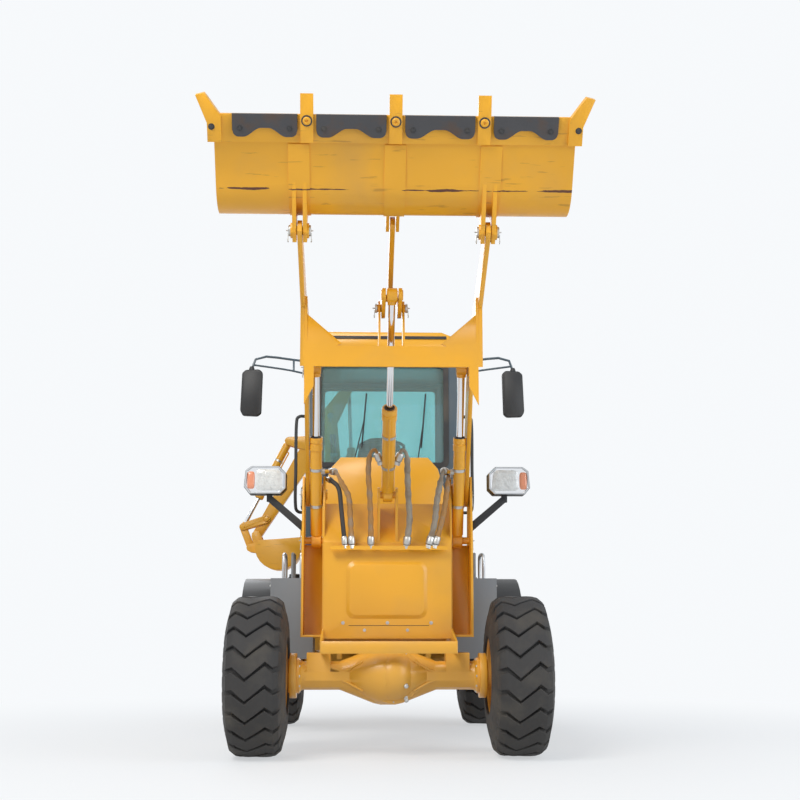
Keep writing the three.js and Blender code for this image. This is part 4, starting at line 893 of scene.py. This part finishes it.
COVER_Y = -1.0805
panel = pressed_panel(at(-0.005, COVER_Y, 1.115), 0.285, 0.20, 0.016, 0.030)
cover_bolts = [bolt(at(x, COVER_Y, 0.888), (0, -1, 0), 0.009) for x in (-0.31, 0.0, 0.305)]
cover_bolts += [lathe([(-0.001, 0.011), (0.002, 0.011)], at(x, COVER_Y, 0.838), looking((0, -1, 0)), 16)
                for x in (-0.16, 0.14)]
seam = block(at(-0.27, COVER_Y - 0.001, 0.868), at(0.29, COVER_Y + 0.002, 0.871))
piece("front_cover_panel", "front_chassis", "yellow_paint", [yellow, zinc, black], panel,
      *number(1, cover_bolts), (*seam, 2), smooth=25)

# %% [markdown]
# ## Hoses
# Short steel lines leave the towers and the tilt cylinder and run into rubber hoses in fabric sleeves, down
# to the bulkhead on the front frame. Each is a round section along a smooth curve, with crimped collars.

# %% Loader hoses
def hose(points, radius, steel_top=True):
    """A curve with two crimped collars. Its first third is thin bent steel line, the rest a wrapped sleeve
    whose radius ripples as a sine. Returns hose and collars apart, so that each has its finish."""
    path = smooth_path(points, 9)
    along = np.linspace(0, 1, len(path))
    covered = np.clip((along - 0.32) / 0.06, 0, 1)
    wrap = 1 + 0.10 * covered * np.sin(along * 70)
    size = radius * (0.62 + 0.38 * covered) * wrap if steel_top else radius
    crimp = [(-0.004, 0.8), (0, 1.25), (0.012, 1.35), (0.05, 1.35), (0.056, 1.12)]
    collars = []
    for here, there in ((path[0], path[1]), (path[-1], path[-2])):
        way = looking(there - here)
        collars.append(lathe([(d, radius * swell) for d, swell in crimp], here, way, 16))
        collars.append(lathe([(-0.03, radius * 1.15), (-0.006, radius * 1.15)], here, way, 6))
    return pipe(path, size, 14), joined(*collars)


FRONT, BULKHEAD_Z = -1.135, 1.43
# Each row: the route's points, the hose's radius and its finish: 0 brown sleeve, 1 rubber, 3 grey sleeve.
hose_routes = [
    ([(-0.062, -1.30, 2.00), (-0.092, -1.325, 2.07), (-0.128, -1.31, 2.04), (-0.138, -1.25, 1.92),
      (-0.128, -1.20, 1.76), (-0.120, -1.16, 1.60), (-0.118, FRONT, BULKHEAD_Z)], 0.019, 0),
    ([(0.066, -1.30, 2.00), (0.096, -1.325, 2.07), (0.128, -1.31, 2.03), (0.134, -1.25, 1.92),
      (0.142, -1.20, 1.76), (0.152, -1.16, 1.60), (0.132, FRONT, BULKHEAD_Z)], 0.021, 3),
    ([(-0.40, -1.02, 1.955), (-0.365, -1.08, 1.94), (-0.325, -1.11, 1.86), (-0.275, -1.13, 1.76),
      (-0.262, -1.13, 1.60), (-0.252, FRONT, BULKHEAD_Z)], 0.019, 0),
    ([(-0.42, -0.99, 1.90), (-0.395, -1.06, 1.88), (-0.345, -1.10, 1.82), (-0.325, -1.12, 1.66),
      (-0.300, FRONT, BULKHEAD_Z)], 0.016, 1),
    ([(0.42, -1.02, 1.955), (0.395, -1.08, 1.95), (0.372, -1.10, 1.86), (0.345, -1.12, 1.72),
      (0.330, -1.13, 1.58), (0.290, FRONT, BULKHEAD_Z)], 0.021, 3),
    ([(0.445, -0.98, 1.93), (0.432, -1.06, 1.91), (0.418, -1.10, 1.80), (0.392, -1.12, 1.64),
      (0.335, FRONT, BULKHEAD_Z)], 0.019, 0),
]
hose_parts = []
for route, radius, look in hose_routes:
    body, collars = hose([at(*p) for p in route], radius, look != 1)
    hose_parts += [(*body, look), (*collars, 2)]
bulkhead = block(at(-0.40, FRONT - 0.016, BULKHEAD_Z - 0.039), at(0.42, FRONT + 0.016, BULKHEAD_Z - 0.011))
piece("loader_hose_set", "front_chassis", "hose_rubber", [sleeve, hose_black, zinc, grey_sleeve, yellow],
      *hose_parts, (*bulkhead, 4), replaces=["loader_hoses"], smooth=40)

# %% [markdown]
# ## Lamps and mirrors
# Each lamp is a black housing on a bent stalk, closed by a fluted lens with an amber signal at its outer
# end, in a silver bezel. A lens is a shallow dome: its height falls as the fourth power of the distance to
# its rounded-rectangle edge, which keeps the middle flat and the edge steep.

# %% Lenses
def dome(centre, half_x, half_z, rise, power=5, rings=10, around=48):
    """Points r*(cos^p, sin^p) scaled to the edge, pushed towards -y by rise*(1 - r^4)."""
    r = np.linspace(0, 1, rings)[1:]
    a = np.arange(around) * 2 * np.pi / around
    ex = np.sign(np.cos(a)) * np.abs(np.cos(a)) ** (2 / power)
    ez = np.sign(np.sin(a)) * np.abs(np.sin(a)) ** (2 / power)
    x, z = np.outer(r, ex) * half_x, np.outer(r, ez) * half_z
    y = -rise * (1 - r[:, None] ** 4) * np.ones((1, around))
    edge = np.stack([x[-1], np.full(around, 0.006), z[-1]], -1)
    points = np.vstack([[[0, -rise, 0]], np.stack([x, y, z], -1).reshape(-1, 3), edge]) + centre
    fan = [[1 + k, 1 + (k + 1) % around, 0] for k in range(around)]
    shell = [[v + 1 for v in f] for f in grid_faces(rings, around)]
    back = 1 + (rings - 1) * around
    return points, fan + shell + [list(range(back, back + around))[::-1]]


LAMP_X, LAMP_FACE, LAMP_Z = 0.872, -1.031, 1.89
LAMP_OUTLINE = [(-0.150, -0.060), (-0.110, -0.100), (0.110, -0.100), (0.150, -0.050), (0.140, 0.070),
                (0.100, 0.100), (-0.100, 0.100), (-0.150, 0.050)]
BEZEL_STEPS = ((0.985, 0.004), (0.97, -0.016), (0.90, -0.016), (0.86, 0.0))
for side, s in SIDES:
    front = at(s * LAMP_X, LAMP_FACE, LAMP_Z)
    lens = dome(front + [-s * 0.028, -0.008, 0], 0.094, 0.076, 0.012, power=6)
    lens[0][:, 0] += s * 0.10 * (lens[0][:, 2] - front[2]) * (s * (front[0] - lens[0][:, 0]) > 0)
    signal = dome(front + [s * 0.099, -0.008, -0.002], 0.027, 0.062, 0.010, power=4)
    piece(f"headlamp_{side}_lens", "front_chassis", "tinted_glass", [fluted, amber], lens, (*signal, 1))
    shape = np.array(LAMP_OUTLINE) * [s, 1]
    count = len(shape)
    tray = plate((shape * 0.90)[:, ::-1], "y", -0.006, 0.002, front)
    steps = [np.c_[shape[:, 0] * k, np.full(count, y), shape[:, 1] * k] for k, y in BEZEL_STEPS]
    bezel = grid_faces(len(steps), count, wrap_rows=True)
    bezel = (np.vstack(steps) + front, flipped(bezel) if s > 0 else bezel)
    piece(f"headlamp_{side}_bezel", "front_chassis", "grey_paint", [rail_silver, reflector], bezel,
          (*tray, 1), smooth=30)

MIRROR_X, MIRROR_Z, CAB_FRONT, CAB_REAR = 1.138, 2.838, 0.985, 2.23
for side, s in SIDES:
    face = plate(rounded_outline(0.078, 0.185, 0.03)[:, ::-1], "y", 0.0, 0.003,
                 at(s * (MIRROR_X + 0.003), CAB_FRONT - 0.1098, MIRROR_Z))
    socket = lathe([(-0.012, 0.026), (0.010, 0.024), (0.030, 0.016)],
                   at(s * MIRROR_X, CAB_FRONT - 0.14, MIRROR_Z + 0.203), "z", 24)
    piece(f"mirror_{side}_glass", "chassis", "tinted_glass", [mirror_glass, black], face, (*socket, 1))

# %% [markdown]
# ## Cab
# The cab is a welded box of slate-grey tube and sheet with a yellow roof. Rubber seals frame the panes,
# wipers park on the windshield, and black grab rails stand at the front corners. The seals are plates
# with a window cut in them, made as two outlines joined by quads.

# %% Seals, rails and wipers
def frame_plate(half_x, half_z, width, centre, depth, axis="y", radius=0.05):
    """A flat ring: outer and inner rounded outlines at two depths, joined round in four rows."""
    outer = rounded_outline(half_x, half_z, radius)
    inner = rounded_outline(half_x - width, half_z - width, radius * 0.7)
    rows = []
    for o, d in ((outer, 0), (outer, depth), (inner, depth), (inner, 0)):
        flat = np.c_[o[:, 0], np.full(len(o), d), o[:, 1]]
        rows.append(flat if axis == "y" else flat[:, [1, 0, 2]])
    faces = grid_faces(4, len(outer), wrap_rows=True)
    return np.vstack(rows) + centre, flipped(faces) if (axis == "y") == (depth < 0) else faces


WINDSHIELD_LOW, WINDSHIELD_HIGH, GLASS_HALF, SEAL_LAP = 2.23, 3.12, 0.56, 0.022
middle_z = (WINDSHIELD_LOW + WINDSHIELD_HIGH) / 2
half_z = (WINDSHIELD_HIGH - WINDSHIELD_LOW) / 2
seals = [frame_plate(GLASS_HALF + SEAL_LAP, half_z + SEAL_LAP, 0.045, at(0, CAB_FRONT, middle_z), -0.010),
         frame_plate(GLASS_HALF + SEAL_LAP, 0.572, 0.045, at(0, CAB_REAR, 2.57), 0.010)]
# The black strip under the roof's front edge is painted shade: it stands for the dark slot there.
roof_slot_shade = block(at(-0.56, 0.8865, 3.335), at(0.56, 0.9, 3.36))
piece("cab_seals_and_slot_shade", "chassis", "hose_rubber", hose_black, *seals, roof_slot_shade, smooth=30)
rails = []
for x in (-0.752, 0.785):
    root = math.copysign(0.655, x)
    rails.append(bent([(root, 1.02, 2.66), (x * 0.97, 1.0, 2.655), (x, 0.99, 2.58), (x, 0.985, 2.2),
                       (x, 0.985, 1.9), (x * 0.97, 1.0, 1.825), (root, 1.02, 1.82)], 0.014))
piece("cab_grab_rails", "chassis", "black_plastic", black, *rails)
wipers = []
for x, lean in ((-0.26, 0.10), (0.30, 0.06)):
    foot = at(x, CAB_FRONT - 0.022, 2.20)
    top = at(x + lean, CAB_FRONT - 0.030, 2.62)
    wipers.append(pipe([foot, foot + (top - foot) * 0.5 + [0, -0.006, 0], top], 0.005, 8))
    blade = [top + [step * 0.02, 0.010, step * 0.24] for step in (-1, 0, 1)]
    wipers.append(pipe(blade, 0.007, 6))
    wipers.append(lathe([(-0.004, 0.022), (0.022, 0.020), (0.028, 0.012)], foot + [0, 0.018, 0],
                        looking((0, -1, 0)), 24))
piece("windshield_wipers", "chassis", "black_plastic", black, *wipers)
DOOR_FACE, HINGE_X, HINGE_Y = 0.664, 0.660, 1.874
for side, s in SIDES:
    out = s * DOOR_FACE
    grip = bent([(out, 1.13, 2.05), (out + s * 0.035, 1.135, 2.04), (out + s * 0.038, 1.14, 1.95),
                 (out + s * 0.035, 1.135, 1.86), (out, 1.13, 1.85)], 0.010, 6)
    lock = lathe([(-0.004, 0.025), (0.010, 0.023), (0.013, 0.010)], at(out, 1.14, 1.78),
                 looking((s, 0, 0)), 24)
    knuckles = [lathe([(-0.05, 0.014), (0.05, 0.014)], at(s * HINGE_X, HINGE_Y, z), "z", 20)
                for z in (1.75, 2.9)]
    piece(f"door_{side}_handle", f"door_{side}", "black_plastic", [black, zinc], grip, (*lock, 1), *knuckles)
    piece(f"door_{side}_seal", f"door_{side}", "hose_rubber", hose_black,
          frame_plate(0.345, 0.60, 0.03, at(s * 0.6605, 1.4775, 2.465), s * 0.006, axis="x"), smooth=30)

# %% [markdown]
# ## Seat and controls
# The seat is a stuffed base and back in dark cloth. A cushion is a crowned closed form: a superellipsoid
# whose sides pull in, flat underneath, with a sewn channel pressed along each side. It is made from one
# formula and smoothed by subdivision, which gives the same plump edge as a simulated pad.

# %% Cushions
def cushion(centre, half, tilt, crown=0.03, channel=0.010, power=3.2, rows=20, around=44):
    """Superellipsoid: x, y, z = half * signed powers of cos and sin; it has a groove at |x| = 0.62 half."""
    v = np.linspace(-np.pi / 2, np.pi / 2, rows + 2)[1:-1]
    u = np.arange(around) * 2 * np.pi / around

    def lift(value, p=2 / power):
        return np.sign(value) * np.abs(value) ** p

    x = np.outer(lift(np.cos(v)), lift(np.cos(u))) * half[0]
    y = np.outer(lift(np.cos(v)), lift(np.sin(u))) * half[1]
    z = np.outer(lift(np.sin(v), 0.8), np.ones(around)) * half[2]
    top = z > 0
    z = z + top * crown * np.clip(1 - (x / half[0]) ** 2 - (y / half[1]) ** 2, 0, 1)
    z = z - top * channel * np.exp(-(((np.abs(x) - 0.62 * half[0]) / 0.012) ** 2))
    points = np.vstack([np.stack([x, y, z], -1).reshape(-1, 3), [[0, 0, -half[2]], [0, 0, half[2] + crown]]])
    c, s = math.cos(tilt), math.sin(tilt)
    x, y, z = points.T
    points = np.c_[x, y * c - z * s, y * s + z * c] + centre
    low, last = rows * around, (rows - 1) * around
    faces = grid_faces(rows, around)
    faces += [[low, (k + 1) % around, k] for k in range(around)]
    faces += [[low + 1, last + k, last + (k + 1) % around] for k in range(around)]
    return points, faces


seat_low, seat_high = [np.array(c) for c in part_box("seat")]
seat_x = (seat_low[0] + seat_high[0]) / 2
half_width = (seat_high[0] - seat_low[0]) / 2 * 0.93
base = cushion([seat_x, seat_low[1] + 0.27, seat_low[2] + 0.46], (half_width, 0.24, 0.06),
               math.radians(4))
back = cushion([seat_x, seat_high[1] - 0.10, seat_high[2] - 0.36], (half_width, 0.32, 0.055),
               math.radians(84))
pad = piece("seat_cushions", "chassis", "seat_fabric", cloth, base, back, smooth=60, replaces=["seat"])
soft = pad.modifiers.new("soft", "SUBSURF")
soft.levels = soft.render_levels = 1
pedestal = block([seat_x - 0.20, seat_low[1] + 0.08, seat_low[2]],
                 [seat_x + 0.20, seat_high[1] - 0.12, seat_low[2] + 0.37])
BELLOWS_PITCH = 0.034
bellows = [lathe([(z, 0.19), (z + 0.015, 0.205), (z + 0.03, 0.19)],
                 [seat_x, seat_low[1] + 0.28, seat_low[2] + 0.05], "z", 32)
           for z in np.arange(0.0, 0.30, BELLOWS_PITCH)]
piece("seat_pedestal", "chassis", "black_plastic", black, pedestal, *bellows, bevel=0.008)
levers = []
for x in (0.30, 0.36, -0.30):
    foot = at(x, 1.30, 1.80)
    levers.append(pipe(smooth_path([foot, foot + [0, 0.02, 0.2], foot + [0, 0.06, 0.36]], 6), 0.008, 10))
    knob = [(-0.02, 0.012), (0.0, 0.022), (0.03, 0.024), (0.05, 0.012)]
    levers.append(lathe(knob, foot + [0, 0.06, 0.37], "z", 20))
piece("cab_levers", "chassis", "black_plastic", black, *levers)

# %% [markdown]
# ## Hood, tanks and rear
# Louvres let the engine breathe at the sides of the hood, and a black rubber lip seals it to the cab.
# Silver loops on the tanks are hand holds beside the cab's steps. Each tank has a filler cap, and one has
# a level glass.

# %% Hood louvres, seal and tank fittings
LOUVRE_COUNT, LOUVRE_START, LOUVRE_PITCH = 9, 0.30, 0.055
LOUVRE = (0.004, 0.030, 0.26)
louvres = []
for s in (-1, 1):
    for k in range(LOUVRE_COUNT):
        points, faces = block([0, 0, 0], LOUVRE)
        points = points * [s, 1, 1] + at(s * 0.5305, LOUVRE_START + LOUVRE_PITCH * k, 1.40)
        louvres.append((points, faces if s > 0 else flipped(faces)))
piece("hood_louvres", "hood", "black_plastic", black, *louvres)
seal = bent([(x, 0.965, z) for x, z in (
    (-0.535, 1.50), (-0.535, 1.77), (-0.47, 2.13), (-0.375, 2.228), (0, 2.240), (0.375, 2.228), (0.47, 2.13),
    (0.535, 1.77), (0.535, 1.50))], 0.022, flat=1.4)
piece("cab_cowl_seal", "chassis", "hose_rubber", hose_black, seal)
loops = [bent([(s * x, 0.20, 1.22), (s * x, 0.20, 1.36), (s * x, 0.25, 1.42), (s * x, 0.50, 1.42),
               (s * x, 0.55, 1.36), (s * x, 0.55, 1.22)], 0.013) for s in (-1, 1) for x in (0.66, 0.80)]
piece("tank_hand_loops", "chassis", "grey_paint", rail_silver, *loops)
caps = [lathe([(0.0, 0.055), (0.02, 0.055), (0.026, 0.048), (0.045, 0.046), (0.05, 0.03)],
              at(s * 0.73, 0.62, 1.228), "z", 32) for s in (-1, 1)]
glass_tube = lathe([(0, 0.010), (0.22, 0.010)], at(-0.905, 0.35, 0.80), "z", 16)
tank_bolts = [bolt(at(s * 0.9005, y, z), (s, 0, 0), 0.010)
              for s in (-1, 1) for y in (0.20, 0.66) for z in (0.66, 1.17)]
piece("tank_fittings", "chassis", "black_plastic", [black, zinc], *caps, glass_tube, *number(1, tank_bolts))

# %% [markdown]
# Rear lamps sit low on the cab's back wall: a red and an amber lens in one black tray each side. The
# digging arm's oil lines run up the boom in a pair, held by clips.

# %% Rear lamps and digging arm lines
for side, s in SIDES:
    wall = at(s * 0.50, CAB_REAR + 0.002, 1.80)
    tray = plate(rounded_outline(0.115, 0.050, 0.012)[:, ::-1], "y", -0.004, 0.024, wall)
    lenses = []
    for x, look in ((-0.055, 1), (0.055, 2)):
        points, faces = dome(np.zeros(3), 0.048, 0.040, 0.014, power=4)
        lenses.append((points * [-1, -1, 1] + wall + [s * x, 0.026, 0], faces, look))
    piece(f"rear_lamp_{side}", "chassis", "black_plastic", [black, red_lens, amber], tray, *lenses, smooth=40)
boom_lines = []
for shift in (0.0, 0.034):
    route = [(0.335, 1.00, -0.080), (0.36, 1.5, -0.082), (0.41, 2.2, -0.082), (0.45, 2.72, -0.080)]
    path = smooth_path([hoe(out + shift, height, along) for out, height, along in route], 10)
    boom_lines.append(pipe(path, 0.011))
clips = [block(hoe(out + 0.045, height, -0.094), hoe(out - 0.030, height + 0.03, -0.068))
         for out, height in ((0.372, 1.35), (0.405, 1.95), (0.445, 2.50))]
piece("hoe_boom_lines", "hoe_boom", "hose_rubber", [hose_black, zinc], *boom_lines, *number(1, clips),
      smooth=40)
